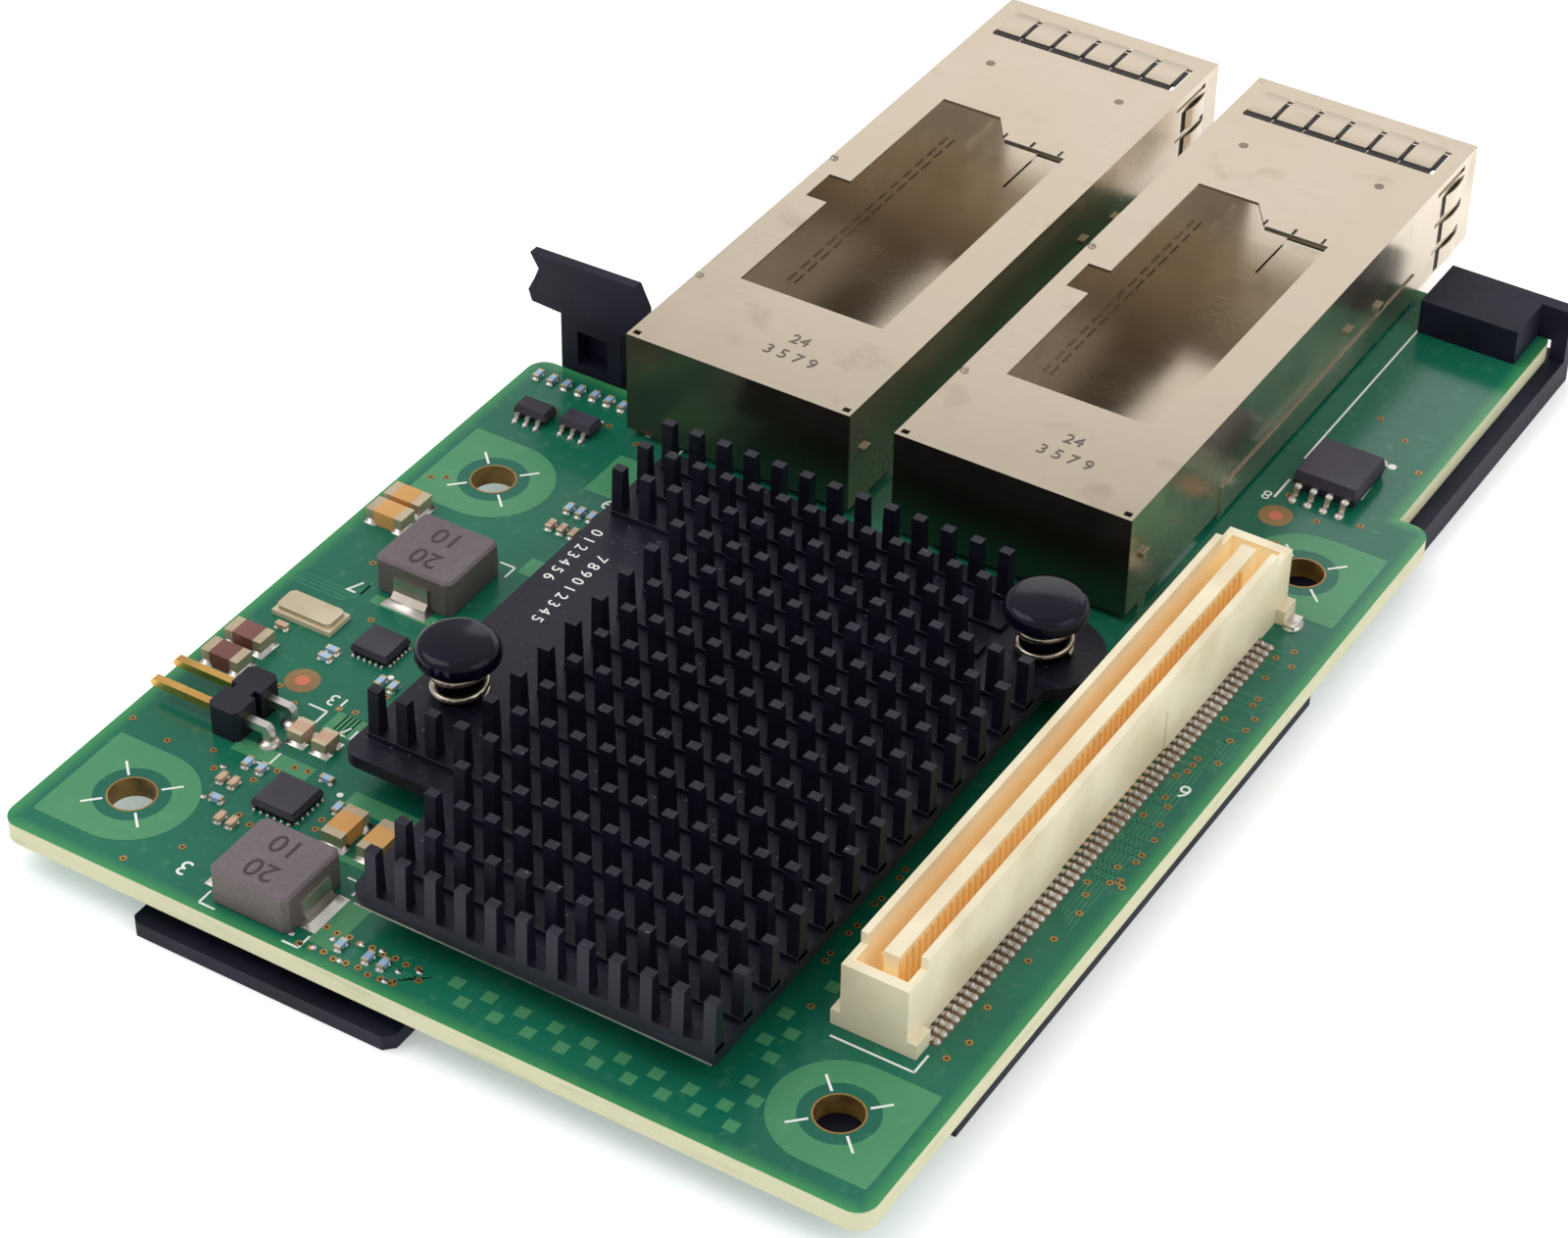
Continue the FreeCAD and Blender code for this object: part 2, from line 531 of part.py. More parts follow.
def make_inductor(x, y, wide, long, tall, along):
    body = centred(x, y, wide, long, 0.1, tall)
    body = trim_uprights(body, 0.4, lambda a, b: True)
    rim = [edge for edge in body.Edges if edge.CenterOfMass.z > tall - 0.01]
    return body.makeChamfer(0.2, rim)


def make_terminals(x, y, wide, long, tall, along):
    # A strap up each end and a solder foot that spreads on the board
    reach = (wide if along == "x" else long) / 2
    straps = []
    for side in (-1, 1):
        points = [(reach, 0), (reach + 0.9, 0), (reach + 0.2, 0.7), (reach + 0.2, 1.9), (reach, 1.9)]
        points = [(side * a, z) for a, z in points]
        if along == "x":
            straps.append(profile_xz([(x + a, z) for a, z in points], y, 3.0))
        else:
            straps.append(profile_yz([(y + a, z) for a, z in points], x, 3.0))
    return straps


def make_gull_leads(x, y, long, tall, pitch, count, wide, reach):
    # Leads leave both Y sides of a moulded chip, drop and rest on the board.
    leads = []
    thick = 0.18
    high = tall * 0.5
    for side in (-1, 1):
        edge = long / 2
        points = [(edge, high), (edge + reach * 0.4, high), (edge + reach * 0.55, thick), (edge + reach, thick),
                  (edge + reach, 0), (edge + reach * 0.45, 0), (edge + reach * 0.3, high - thick), (edge, high - thick)]
        points = [(y + side * a, z) for a, z in points]
        for step in range(count):
            leads.append(profile_yz(points, x + (step - (count - 1) / 2) * pitch, wide))
    return leads


def make_moulded_chip(x, y, wide, long, tall):
    # Moulded body with drafted sides, widest at its parting line
    middle = 0.1 + (tall - 0.1) * 0.45
    inset = 0.18
    layers = []
    for low, high, a, b in ((0.1, middle, inset, 0), (middle, tall, 0, inset)):
        wires = []
        for z, d in ((low, a), (high, b)):
            corners = [V(x - wide / 2 + d, y - long / 2 + d, z), V(x + wide / 2 - d, y - long / 2 + d, z),
                       V(x + wide / 2 - d, y + long / 2 - d, z), V(x - wide / 2 + d, y + long / 2 - d, z)]
            wires.append(Part.makePolygon(corners + corners[:1]))
        layers.append(Part.makeLoft(wires, True, True))
    return fuse(layers)


def make_chip_parts(places, size):
    # Ceramic bodies and the metal caps on both of their ends
    long, wide, tall = size
    cap = long * 0.22
    bodies = []
    ends = []
    for x, y, along in places:
        for low, high, group in ((-long / 2, -long / 2 + cap, ends), (-long / 2 + cap, long / 2 - cap, bodies),
                                 (long / 2 - cap, long / 2, ends)):
            if along == "x":
                group.append(block(x + low, x + high, y - wide / 2, y + wide / 2, 0, tall))
            else:
                group.append(block(x - wide / 2, x + wide / 2, y + low, y + high, 0, tall))
    return bodies, ends


def make_header():
    half = HEADER_PIN / 2
    low_y = HEADER_Y[0] - 1.27
    high_y = HEADER_Y[1] + 1.27
    body = block(HEADER_BODY_X[0], HEADER_BODY_X[1], low_y, high_y, 0, HEADER_BODY_H)
    body = trim_uprights(body, 0.35, lambda x, y: True)
    ways = [block(HEADER_BODY_X[0] - 1, HEADER_BODY_X[1] + 1, y - half, y + half, HEADER_PIN_Z - half,
                  HEADER_PIN_Z + half) for y in HEADER_Y]
    waist = (HEADER_Y[0] + HEADER_Y[1]) / 2
    notches = [block(HEADER_BODY_X[0] - 1, HEADER_BODY_X[0] + 0.5, waist - 0.3, waist + 0.3, -1, HEADER_BODY_H + 1),
               block(HEADER_BODY_X[1] - 0.5, HEADER_BODY_X[1] + 1, waist - 0.3, waist + 0.3, -1, HEADER_BODY_H + 1)]
    pins = []
    for y in HEADER_Y:
        foot = -BOARD_T - 0.8
        points = [(HEADER_TIP + 0.2, HEADER_PIN_Z - half), (HEADER_BEND_X - half, HEADER_PIN_Z - half),
                  (HEADER_BEND_X - half, foot), (HEADER_BEND_X + half, foot), (HEADER_BEND_X + half, HEADER_PIN_Z),
                  (HEADER_BEND_X, HEADER_PIN_Z + half), (HEADER_TIP + 0.2, HEADER_PIN_Z + half),
                  (HEADER_TIP, HEADER_PIN_Z + half * 0.4), (HEADER_TIP, HEADER_PIN_Z - half * 0.4)]
        pins.append(profile_xz(points, y, HEADER_PIN))
    return body.cut(ways + notches), pins


# Board, plate and bracket
save("pcb", make_board())
save("insulator_plate", make_plate())
save("front_bracket", make_bracket())

# Cages and what they hold
for side, name in enumerate(("left", "right")):
    cage_x = CAGE_X + side * CAGE_PITCH
    save("cage_" + name, make_cage(cage_x))
    save("cage_floor_" + name, make_cage_floor(cage_x))
    save("socket_" + name, make_socket(cage_x))
    save("socket_contacts_" + name, make_socket_contacts(cage_x))

# Cooler
save("heatsink", make_heatsink())
save("push_pins", [make_clip(x, y) for x, y in (CLIP_LEFT, CLIP_RIGHT)])
save("push_pin_springs", [make_spring(x, y) for x, y in (CLIP_LEFT, CLIP_RIGHT)])
save("controller_substrate", block(CHIP_X[0], CHIP_X[1], CHIP_Y[0], CHIP_Y[1], 0, CHIP_BASE_T))
lid_x = (CHIP_X[0] + CHIP_LID_INSET, CHIP_X[1] - CHIP_LID_INSET)
lid_y = (CHIP_Y[0] + CHIP_LID_INSET, CHIP_Y[1] - CHIP_LID_INSET)
lid_top = CHIP_BASE_T + CHIP_LID_T
save("controller_lid", block(lid_x[0], lid_x[1], lid_y[0], lid_y[1], CHIP_BASE_T, lid_top))
save("thermal_pad", block(lid_x[0], lid_x[1], lid_y[0], lid_y[1], lid_top, SINK_BOTTOM))

# Mezzanine connector
save("mezzanine_housing", make_mezz_housing())
save("mezzanine_contacts_left", make_mezz_contacts(-1))
save("mezzanine_contacts_right", make_mezz_contacts(1))
save("mezzanine_hold_downs", make_hold_downs())

# Parts on the board
save("inductor_bodies", [make_inductor(*place) for place in INDUCTORS])
save("inductor_terminals", [strap for place in INDUCTORS for strap in make_terminals(*place)])
save("power_chips", [make_moulded_chip(*place) for place in POWER_CHIPS])
x, y, wide, long, tall = CRYSTAL
save("crystal_base", centred(x, y, wide, long, 0, tall * 0.5))
save("crystal_lid", trim_uprights(centred(x, y, wide - 0.4, long - 0.4, tall * 0.5, tall), 0.3, lambda a, b: True))
save("flash_chip", make_moulded_chip(*FLASH))
x, y, wide, long, tall = FLASH
save("flash_leads", make_gull_leads(x, y, long, tall, 1.27, 4, 0.42, 1.5))
save("small_chips", [make_moulded_chip(*place) for place in SMALL_CHIPS])
save("small_chip_leads", [lead for x, y, wide, long, tall in SMALL_CHIPS
                          for lead in make_gull_leads(x, y, long, tall, 0.95, 3, 0.36, 0.65)])
header_body, header_pins = make_header()
save("header_body", header_body)
save("header_pins", header_pins)

# Ceramic parts
tan_bodies, tan_ends = make_chip_parts(BIG_CAPS_TAN, BIG_CAP_SIZE)
brown_bodies, brown_ends = make_chip_parts(BIG_CAPS_BROWN, BIG_CAP_SIZE)
medium_bodies, medium_ends = make_chip_parts(MEDIUM_CAPS, MEDIUM_CAP_SIZE)
save("large_capacitors_tan", tan_bodies)
save("large_capacitors_brown", brown_bodies)
save("medium_capacitors", medium_bodies)
save("capacitor_ends", tan_ends + brown_ends + medium_ends)
chip_tan, chip_tan_ends = make_chip_parts(CHIP_CAPS_TAN, CHIP_PART_SIZE)
chip_blue, chip_blue_ends = make_chip_parts(CHIP_CAPS_BLUE, CHIP_PART_SIZE)
first_x, row_y, row_pitch, row_count = RESISTOR_ROW
row_places = [(first_x + step * row_pitch, row_y, "y") for step in range(row_count)]
resistors, resistor_ends = make_chip_parts(RESISTORS + row_places, CHIP_PART_SIZE)
save("small_capacitors_tan", chip_tan)
save("small_capacitors_blue", chip_blue)
save("resistors", resistors)
save("small_part_ends", chip_tan_ends + chip_blue_ends + resistor_ends)
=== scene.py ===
# %% [markdown]
# This card is a green board crowded with bought parts: a black pin cooler, a cream board
# connector and two bare metal cages. Everything below dresses them or adds what is too
# fine for solids.

# %% Load the frame
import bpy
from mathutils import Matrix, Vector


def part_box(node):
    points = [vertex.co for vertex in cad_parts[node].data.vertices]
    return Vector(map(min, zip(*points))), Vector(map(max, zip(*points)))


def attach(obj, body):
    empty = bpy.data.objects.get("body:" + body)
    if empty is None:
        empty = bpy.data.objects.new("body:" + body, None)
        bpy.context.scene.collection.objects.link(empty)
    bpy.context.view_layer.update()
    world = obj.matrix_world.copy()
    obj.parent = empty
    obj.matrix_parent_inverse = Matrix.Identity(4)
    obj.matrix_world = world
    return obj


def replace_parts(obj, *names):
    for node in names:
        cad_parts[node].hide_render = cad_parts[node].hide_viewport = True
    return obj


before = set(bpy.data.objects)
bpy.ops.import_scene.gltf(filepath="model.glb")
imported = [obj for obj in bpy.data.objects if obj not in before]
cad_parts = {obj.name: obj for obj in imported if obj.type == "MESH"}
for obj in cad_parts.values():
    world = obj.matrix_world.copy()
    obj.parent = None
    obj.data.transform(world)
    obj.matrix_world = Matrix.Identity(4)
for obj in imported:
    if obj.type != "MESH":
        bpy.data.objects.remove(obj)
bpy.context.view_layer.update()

import math
import random
from collections import namedtuple

import bmesh
import bpy
from mathutils import Matrix, Vector

random.seed(7)
scene = bpy.context.scene
print("nodes", len(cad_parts))

# %% [markdown]
# Sizes below are in millimetres from the board's rear left corner, on its top face, because
# that is how a board designer would place parts. One function turns them into metres in the
# shared frame, whose origin is the rear left mounting hole, and another reads a node's box.

# %% Board coordinates
MM = 0.001
board_low, board_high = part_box("pcb")
ORIGIN = Vector((board_low.x, board_low.y, 0.0))
BOARD_W, BOARD_L, BOARD_T = (board_high - board_low) / MM
LEFT_STEP, LEFT_STEP_Y = 8.6, 64.2
RIGHT_STEP, RIGHT_STEP_Y = 2.7, 81.5
BOARD_SLOT = "solder_mask_board"


class Box(namedtuple("Box", "x0 x1 y0 y1 z0 z1")):
    @property
    def x(self):
        return (self.x0 + self.x1) / 2

    @property
    def y(self):
        return (self.y0 + self.y1) / 2


def place(x, y, z):
    return Vector((x * MM, y * MM, z * MM)) + ORIGIN


def box_round(points):
    # The box round some points of the shared frame, in board millimetres
    places = [(point - ORIGIN) / MM for point in points]
    return Box(*(pick(axis) for axis in zip(*places) for pick in (min, max)))


def span(node):
    return box_round(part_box(node))


CAGES = (span("cage_left"), span("cage_right"))
print("board", round(BOARD_W, 2), round(BOARD_L, 2), round(BOARD_T, 2))

# %% [markdown]
# The view is from the rear right, fairly close, through a long lens. The camera's place comes
# from the square features of the board, whose sizes are known, so the lens needs no shift.

# %% Camera
CAMERA_AT = (152.03, -149.83, 183.53)
CAMERA_AZIMUTH = 31.154
CAMERA_ELEVATION = 38.609
CAMERA_ROLL = -1.001
LENS = 94.35

azimuth, elevation, roll = (math.radians(a) for a in (CAMERA_AZIMUTH, CAMERA_ELEVATION, CAMERA_ROLL))
forward = Vector((-math.sin(azimuth) * math.cos(elevation), math.cos(azimuth) * math.cos(elevation),
                  -math.sin(elevation)))
level_right = forward.cross(Vector((0, 0, 1))).normalized()
level_down = forward.cross(level_right)
right = math.cos(roll) * level_right + math.sin(roll) * level_down
down = math.cos(roll) * level_down - math.sin(roll) * level_right
camera_data = bpy.data.cameras.new("camera")
camera_data.sensor_width = 36
camera_data.lens = LENS
camera_data.clip_start, camera_data.clip_end = 0.01, 20
camera = bpy.data.objects.new("camera", camera_data)
camera.matrix_world = Matrix((right, -down, -forward)).transposed().to_4x4()
camera.location = place(*CAMERA_AT)
scene.collection.objects.link(camera)
scene.camera = camera
print("camera", [round(v, 3) for v in camera.location])

# %% [markdown]
# A finish is a small graph of shader nodes. Writing the maths as plain Python keeps it
# readable: a Wire holds one output socket, and adding or multiplying wires adds Math nodes.

# %% Shader wires


class Wire:
    def __init__(self, finish, socket):
        self.finish = finish
        self.socket = socket

    def math(self, operation, *values):
        return self.finish.node("ShaderNodeMath", {"operation": operation}, dict(enumerate(values)))

    def __add__(self, other):
        return self.math("ADD", self, other)

    __radd__ = __add__

    def __sub__(self, other):
        return self.math("SUBTRACT", self, other)

    def __rsub__(self, other):
        return self.math("SUBTRACT", other, self)

    def __mul__(self, other):
        return self.math("MULTIPLY", self, other)

    __rmul__ = __mul__

    def above(self, level):
        return self.math("GREATER_THAN", self, level)

    def below(self, level):
        return self.math("LESS_THAN", self, level)

    def within(self, low, high):
        return self.above(low) * self.below(high)

    def least(self, other):
        return self.math("MINIMUM", self, other)

    def most(self, other):
        return self.math("MAXIMUM", self, other)

    def abs(self):
        return self.math("ABSOLUTE", self)

    def ramp(self, low, high):
        # 0 at low and 1 at high, smooth between
        return self.finish.node("ShaderNodeMapRange", {"interpolation_type": "SMOOTHSTEP"},
                                {"Value": self, "From Min": low, "From Max": high})

    def parts(self):
        split = self.finish.node("ShaderNodeSeparateXYZ", None, {"Vector": self})
        return [Wire(self.finish, socket) for socket in split.socket.node.outputs]


print("wires ready")

# %% [markdown]
# A Finish starts from the principled shader. Its one node method makes every other node, and
# short methods name the few textures used here, so that each recipe reads as a list.

# %% Finishes in Python


class Finish:
    def __init__(self, name, colour=None, roughness=0.5, metallic=0.0, **sockets):
        self.material = bpy.data.materials.new(name)
        self.material.use_nodes = True
        self.tree = self.material.node_tree
        self.shader = self.tree.nodes["Principled BSDF"]
        self.set("Roughness", roughness)
        self.set("Metallic", metallic)
        if colour is not None:
            self.set("Base Color", colour)
        for socket, value in sockets.items():
            self.set(socket.replace("_", " "), value)

    def feed(self, socket, value):
        # A constant goes on the socket itself, and a wire is linked to it.
        if isinstance(value, Wire):
            self.tree.links.new(value.socket, socket)
        else:
            socket.default_value = value

    def set(self, socket, value):
        self.feed(self.shader.inputs[socket], value)

    def node(self, kind, settings=None, inputs=None, output=0):
        made = self.tree.nodes.new(kind)
        for key, value in (settings or {}).items():
            setattr(made, key, value)
        for key, value in (inputs or {}).items():
            self.feed(made.inputs[key], value)
        return Wire(self, made.outputs[output])

    def place(self):
        return self.node("ShaderNodeTexCoord", output="Object")

    def stretched(self, x, y, z, shift=(0, 0, 0)):
        return self.node("ShaderNodeMapping", None,
                         {"Vector": self.place(), "Scale": (x, y, z), "Location": shift})

    def axes(self):
        # x, y and z in board millimetres, and the upward part of the surface's normal
        board = self.stretched(1 / MM, 1 / MM, 1 / MM, -ORIGIN / MM)
        normal = self.node("ShaderNodeNewGeometry", output="Normal")
        return (*board.parts(), normal.parts()[2])

    def noise(self, scale, detail=3.0, vector=None, roughness=0.5):
        vector = vector or self.place()
        return self.node("ShaderNodeTexNoise", None,
                         {"Vector": vector, "Scale": scale, "Detail": detail, "Roughness": roughness})

    def bands(self, direction, **inputs):
        sockets = {key.replace("_", " "): value for key, value in inputs.items()}
        sockets["Vector"] = self.place()
        return self.node("ShaderNodeTexWave", {"bands_direction": direction}, sockets)

    def mix(self, amount, first, second):
        return self.node("ShaderNodeMix", {"data_type": "RGBA"}, {0: amount, 6: first, 7: second}, 2)

    def bump(self, height, depth, strength):
        # The depth is in millimetres
        inputs = {"Height": height, "Distance": depth * MM, "Strength": strength}
        self.set("Normal", self.node("ShaderNodeBump", None, inputs))


def tone(red, green, blue):
    # A colour as the eye reads it, 0 to 255, as the linear value that the shader wants
    linear = [((c / 255 + 0.055) / 1.055) ** 2.4 if c > 10 else c / 255 / 12.92 for c in (red, green, blue)]
    return (*linear, 1.0)


print("finish helpers ready")

# %% [markdown]
# Solder mask is a thin glossy green lacquer. Over copper it looks light, over bare laminate it looks deep,
# and near the cut edge light leaks into the laminate, so the green there is painted lighter as a painted
# glow. One recipe therefore serves the bare board and the copper areas, each with its own base colour.

# %% Solder mask
FAR_AWAY = 1000.0
GLOW_REACH = (-0.2, 1.3)
HOLE_WALL_FROM = 1.8


def edge_distance(x, y):
    # How far a point stands from the nearest cut edge of the stepped outline
    past_left, past_right = y.above(LEFT_STEP_Y), y.above(RIGHT_STEP_Y)
    nearest = (x - past_left * LEFT_STEP).least(BOARD_W - x - past_right * RIGHT_STEP)
    nearest = nearest.least(y).least(BOARD_L - y)
    left_step = (LEFT_STEP_Y - y).most(x - LEFT_STEP).most(past_left * FAR_AWAY)
    right_step = (RIGHT_STEP_Y - y).most(BOARD_W - RIGHT_STEP - x).most(past_right * FAR_AWAY)
    return nearest.least(left_step).least(right_step)


def cut_edges(finish, colour, cloud):
    # Glass-epoxy shows on the sides, with fine plies, and plated walls show in the holes.
    x, y, z, up = finish.axes()
    nearest = edge_distance(x, y)
    # painted glow: the green is painted lighter within about a millimetre of the cut edge
    glow = 1 - nearest.ramp(*GLOW_REACH)
    colour = finish.mix(glow * 0.75, colour, tone(74, 160, 92))
    ply = finish.bands("Z", Scale=1150.0, Distortion=3.5, Detail=3.0, Detail_Scale=40.0)
    laminate = finish.mix(ply * 0.45, tone(222, 219, 186), tone(186, 190, 148))
    grain = finish.noise(1600, 3, finish.stretched(0.12, 0.12, 1.0))
    laminate = finish.mix(grain.ramp(0.5, 0.75) * 0.35, laminate, tone(160, 172, 128))
    wall = finish.mix(finish.noise(500).ramp(0.3, 0.7), tone(84, 62, 26), tone(138, 108, 54))
    side = 1 - up.abs().ramp(0.3, 0.6)
    finish.set("Roughness", side * 0.45 + 0.2 + cloud * 0.06)
    return finish.mix(side, colour, finish.mix(nearest.above(HOLE_WALL_FROM), laminate, wall))


def mask_finish(name, deep, light, bare_edges=False):
    finish = Finish(name, roughness=0.3, Specular_IOR_Level=0.3, Coat_Weight=0.08, Coat_Roughness=0.1)
    cloud = finish.noise(45, 4).ramp(0.35, 0.7)
    colour = finish.mix(cloud * 0.55, tone(*deep), tone(*light))
    colour = finish.mix(finish.noise(900, 2).ramp(0.55, 0.8) * 0.10, colour, tone(150, 200, 150))
    if bare_edges:
        colour = cut_edges(finish, colour, cloud)
    finish.set("Base Color", colour)
    weave = [finish.bands(direction, Scale=420.0, Distortion=0.6) * 0.4 for direction in "XY"]
    finish.bump(weave[0] + weave[1] + finish.noise(260, 4), 0.012, 0.35)
    return finish.material


BOARD_GREEN = mask_finish("board_green", (18, 100, 78), (34, 124, 94), bare_edges=True)
COPPER_GREEN = mask_finish("copper_green", (70, 140, 98), (88, 156, 110))
DARK_GREEN = mask_finish("dark_green", (14, 98, 78), (24, 110, 88))
TRACK_GREEN = mask_finish("track_green", (44, 124, 96), (58, 138, 104))
print("finishes", len(bpy.data.materials))

# %% [markdown]
# Moulded black plastic has a fine spark-eroded skin, ceramic a finer grain and ink almost none.
# One recipe with a grain size and a relief depth covers them all: two tones clouded together,
# a light speckle and a shallow bump.

# %% Plastic, ceramic and ink


def moulded(name, dark, light, roughness=0.5, grain=2500, depth=0.01, **sockets):
    finish = Finish(name, roughness=roughness, **sockets)
    cloud = finish.noise(160, 4).ramp(0.3, 0.7)
    fine = finish.noise(grain, 3)
    colour = finish.mix(cloud, tone(*dark), tone(*light))
    finish.set("Base Color", finish.mix(fine.ramp(0.62, 0.8) * 0.25, colour, tone(*light)))
    finish.set("Roughness", fine * 0.2 + (roughness - 0.1))
    finish.bump(fine + cloud * 0.4, depth, 0.6)
    return finish.material


BLACK_PLASTIC = moulded("black_plastic", (16, 16, 30), (28, 27, 46), 0.55, Specular_IOR_Level=0.22)
SOCKET_BLACK = moulded("socket_black", (16, 15, 26), (28, 27, 42), 0.45, Specular_IOR_Level=0.35)
GLOSS_BLACK = moulded("gloss_black", (7, 7, 20), (13, 13, 32), 0.14, 1800, 0.002, Specular_IOR_Level=0.2)
CHIP_BLACK = moulded("chip_black", (40, 34, 46), (60, 54, 68), 0.55, 4200)
TAN_CERAMIC = moulded("tan_ceramic", (204, 146, 76), (224, 172, 104), 0.35, 3800)
PALE_CERAMIC = moulded("pale_ceramic", (196, 156, 130), (216, 178, 152), 0.35, 3800)
BROWN_CERAMIC = moulded("brown_ceramic", (112, 66, 60), (134, 84, 76), 0.35, 3800)
BLUE_CERAMIC = moulded("blue_ceramic", (142, 178, 214), (180, 208, 234), 0.3, 3800)
CRYSTAL_CERAMIC = moulded("crystal_ceramic", (206, 190, 160), (228, 214, 186), 0.4, 3200)
THERMAL_GREY = moulded("thermal_grey", (150, 150, 156), (180, 180, 186), 0.7, 2000)
BROWN_RESIN = moulded("brown_resin", (126, 98, 54), (150, 118, 68), 0.4, 2600)
STRIP_BROWN = moulded("mask_strip", (92, 68, 50), (122, 92, 66), 0.5, 2600)
# painted shade: the dark inside holes and cut slots
PAINTED_HOLE_SHADE = moulded("painted_hole_shade", (16, 10, 8), (30, 20, 14), 0.6, 2600)
SILK_WHITE = moulded("silk_white", (226, 232, 222), (250, 252, 246), 0.55, 3000, 0.004)
INK_DARK = moulded("ink_dark", (48, 38, 50), (62, 52, 62), 0.6, 3000, 0.002)
LASER_GREY = moulded("laser_grey", (92, 82, 74), (116, 104, 94), 0.6, 3000, 0.002)
print("finishes", len(bpy.data.materials))

# %% [markdown]
# Two parts need recipes of their own. The connector's pale liquid-crystal polymer lets light through, and
# the inside of its trough is painted lighter and amber with a faint emission, a painted glow that lifts the
# shade there. The inductors are pressed iron powder, gritty all over and a little lighter and redder on
# their top faces than on their sides.

# %% Connector plastic and pressed powder
TROUGH_X, TROUGH_Y, TROUGH_FADE = (58.35, 62.6), (14.1, 66.6), (4.6, 6.3)


def cream_housing(name):
    finish = Finish(name, roughness=0.42)
    x, y, z, up = finish.axes()
    # painted glow: the trough is painted lighter and amber, with a faint emission, lifting the shade inside
    # it
    painted_trough_glow = x.within(*TROUGH_X) * y.within(*TROUGH_Y) * (1 - z.ramp(*TROUGH_FADE))
    grain = finish.noise(3000, 3)
    colour = finish.mix(finish.noise(160, 4).ramp(0.3, 0.7), tone(226, 212, 178), tone(246, 236, 206))
    colour = finish.mix(grain.ramp(0.62, 0.8) * 0.2, colour, tone(250, 242, 216))
    finish.set("Base Color", finish.mix(painted_trough_glow * 0.8, colour, tone(252, 232, 190)))
    finish.set("Emission Color", finish.mix(painted_trough_glow, tone(0, 0, 0), tone(250, 220, 166)))
    finish.set("Emission Strength", 0.13)
    finish.bump(grain, 0.008, 0.6)
    return finish.material


def pressed_powder(name):
    finish = Finish(name, roughness=0.62)
    grit = finish.noise(5200, 3)
    patches = grit.ramp(0.35, 0.7) * 0.5 + finish.noise(120).ramp(0.3, 0.7) * 0.5
    # the top faces take a slightly lighter, redder tone than the sides
    top = finish.mix(patches, tone(95, 84, 89), tone(116, 104, 108))
    side = finish.mix(patches, tone(84, 78, 76), tone(110, 102, 98))
    colour = finish.mix(finish.axes()[3].above(0.5), side, top)
    pits = finish.noise(7000, 2).ramp(0.64, 0.72)
    finish.set("Base Color", finish.mix(pits * 0.4, colour, tone(64, 56, 56)))
    finish.bump(grit, 0.012, 0.6)
    return finish.material


CREAM_PLASTIC = cream_housing("cream_plastic")
FERRITE = pressed_powder("pressed_powder")
print("finishes", len(bpy.data.materials))

# %% [markdown]
# Plated sheet keeps long rolling lines, smears and small stains, so it is never an even mirror.
# The cages' tops are painted darker than their sides as painted shade, and their rear walls are painted dark
# as a painted reflection. Contacts are one plated strip: gold where they touch and tin where they are
# soldered.

# %% Metals
ROLLED, FINE, COARSE = (4.0, 60.0, 60.0), (30.0, 30.0, 30.0), (40.0, 40.0, 40.0)
REAR_WALL_Y = 59.7
PIN_TIN_X, CONTACT_TIN_X = 8.9, 62.9


def plated(name, dark, light, roughness, metallic=1.0, grain=ROLLED, depth=0.004, tinned_from=None,
           painted_top_shade=None):
    finish = Finish(name, roughness=roughness, metallic=metallic)
    lines = finish.noise(60, 5, finish.stretched(*grain), 0.6)
    smear = finish.noise(70, 4).ramp(0.35, 0.7)
    stain = finish.noise(210, 5).ramp(0.58, 0.74)
    colour = finish.mix(smear, tone(*dark), tone(*light))
    colour = finish.mix(lines.ramp(0.4, 0.65) * 0.18, colour, tone(*light))
    colour = finish.mix(stain * 0.28, colour, tone(150, 128, 104))
    if painted_top_shade is not None:
        x, y, z, up = finish.axes()
        # painted shade: upward faces are painted darker than the sides
        colour = finish.mix(up.above(0.5) * painted_top_shade, colour, tone(96, 86, 70))
        # painted reflection: the rear walls are painted dark for the dark surroundings they mirror
        rear = y.below(REAR_WALL_Y) * up.below(0.5)
        colour = finish.mix(rear * 0.75, colour, tone(28, 25, 26))
    if tinned_from is not None:
        tin = finish.mix(smear, tone(196, 190, 182), tone(236, 232, 226))
        colour = finish.mix(finish.axes()[0].above(tinned_from), colour, tin)
    finish.set("Base Color", colour)
    finish.set("Roughness", lines * 0.12 + smear * 0.10 + (roughness - 0.1))
    finish.bump(lines + smear * 0.5, depth, 0.5)
    return finish.material


CAGE_METAL = plated("cage_metal", (206, 192, 172), (226, 212, 192), 0.22, 0.95, ROLLED, 0.0012, painted_top_shade=0.55)
STOP_DARK = plated("pressed_stop", (110, 100, 88), (150, 138, 122), 0.45, 0.8)
TINNED = plated("tinned", (184, 174, 162), (222, 214, 202), 0.34, 0.95, FINE, 0.006)
SOLDER = plated("solder", (172, 168, 162), (216, 212, 204), 0.32, 1.0, COARSE, 0.01)
GOLD = plated("gold", (222, 168, 84), (244, 200, 120), 0.28, 1.0, FINE)
END_METAL = plated("end_metal", (190, 170, 140), (222, 206, 178), 0.4, 0.6, FINE)
HEADER_PINS = plated("header_pins", (222, 168, 84), (244, 200, 120), 0.28, 1.0, FINE, 0.003, PIN_TIN_X)
CONTACTS = plated("contacts", (246, 196, 124), (255, 224, 166), 0.35, 0.15, FINE, 0.003, CONTACT_TIN_X)
LID_METAL = plated("lid_metal", (206, 190, 158), (228, 214, 186), 0.36, 0.9, (20, 60, 60))
SPRING_STEEL = plated("spring_steel", (150, 140, 130), (214, 200, 180), 0.25, 1.0, COARSE)
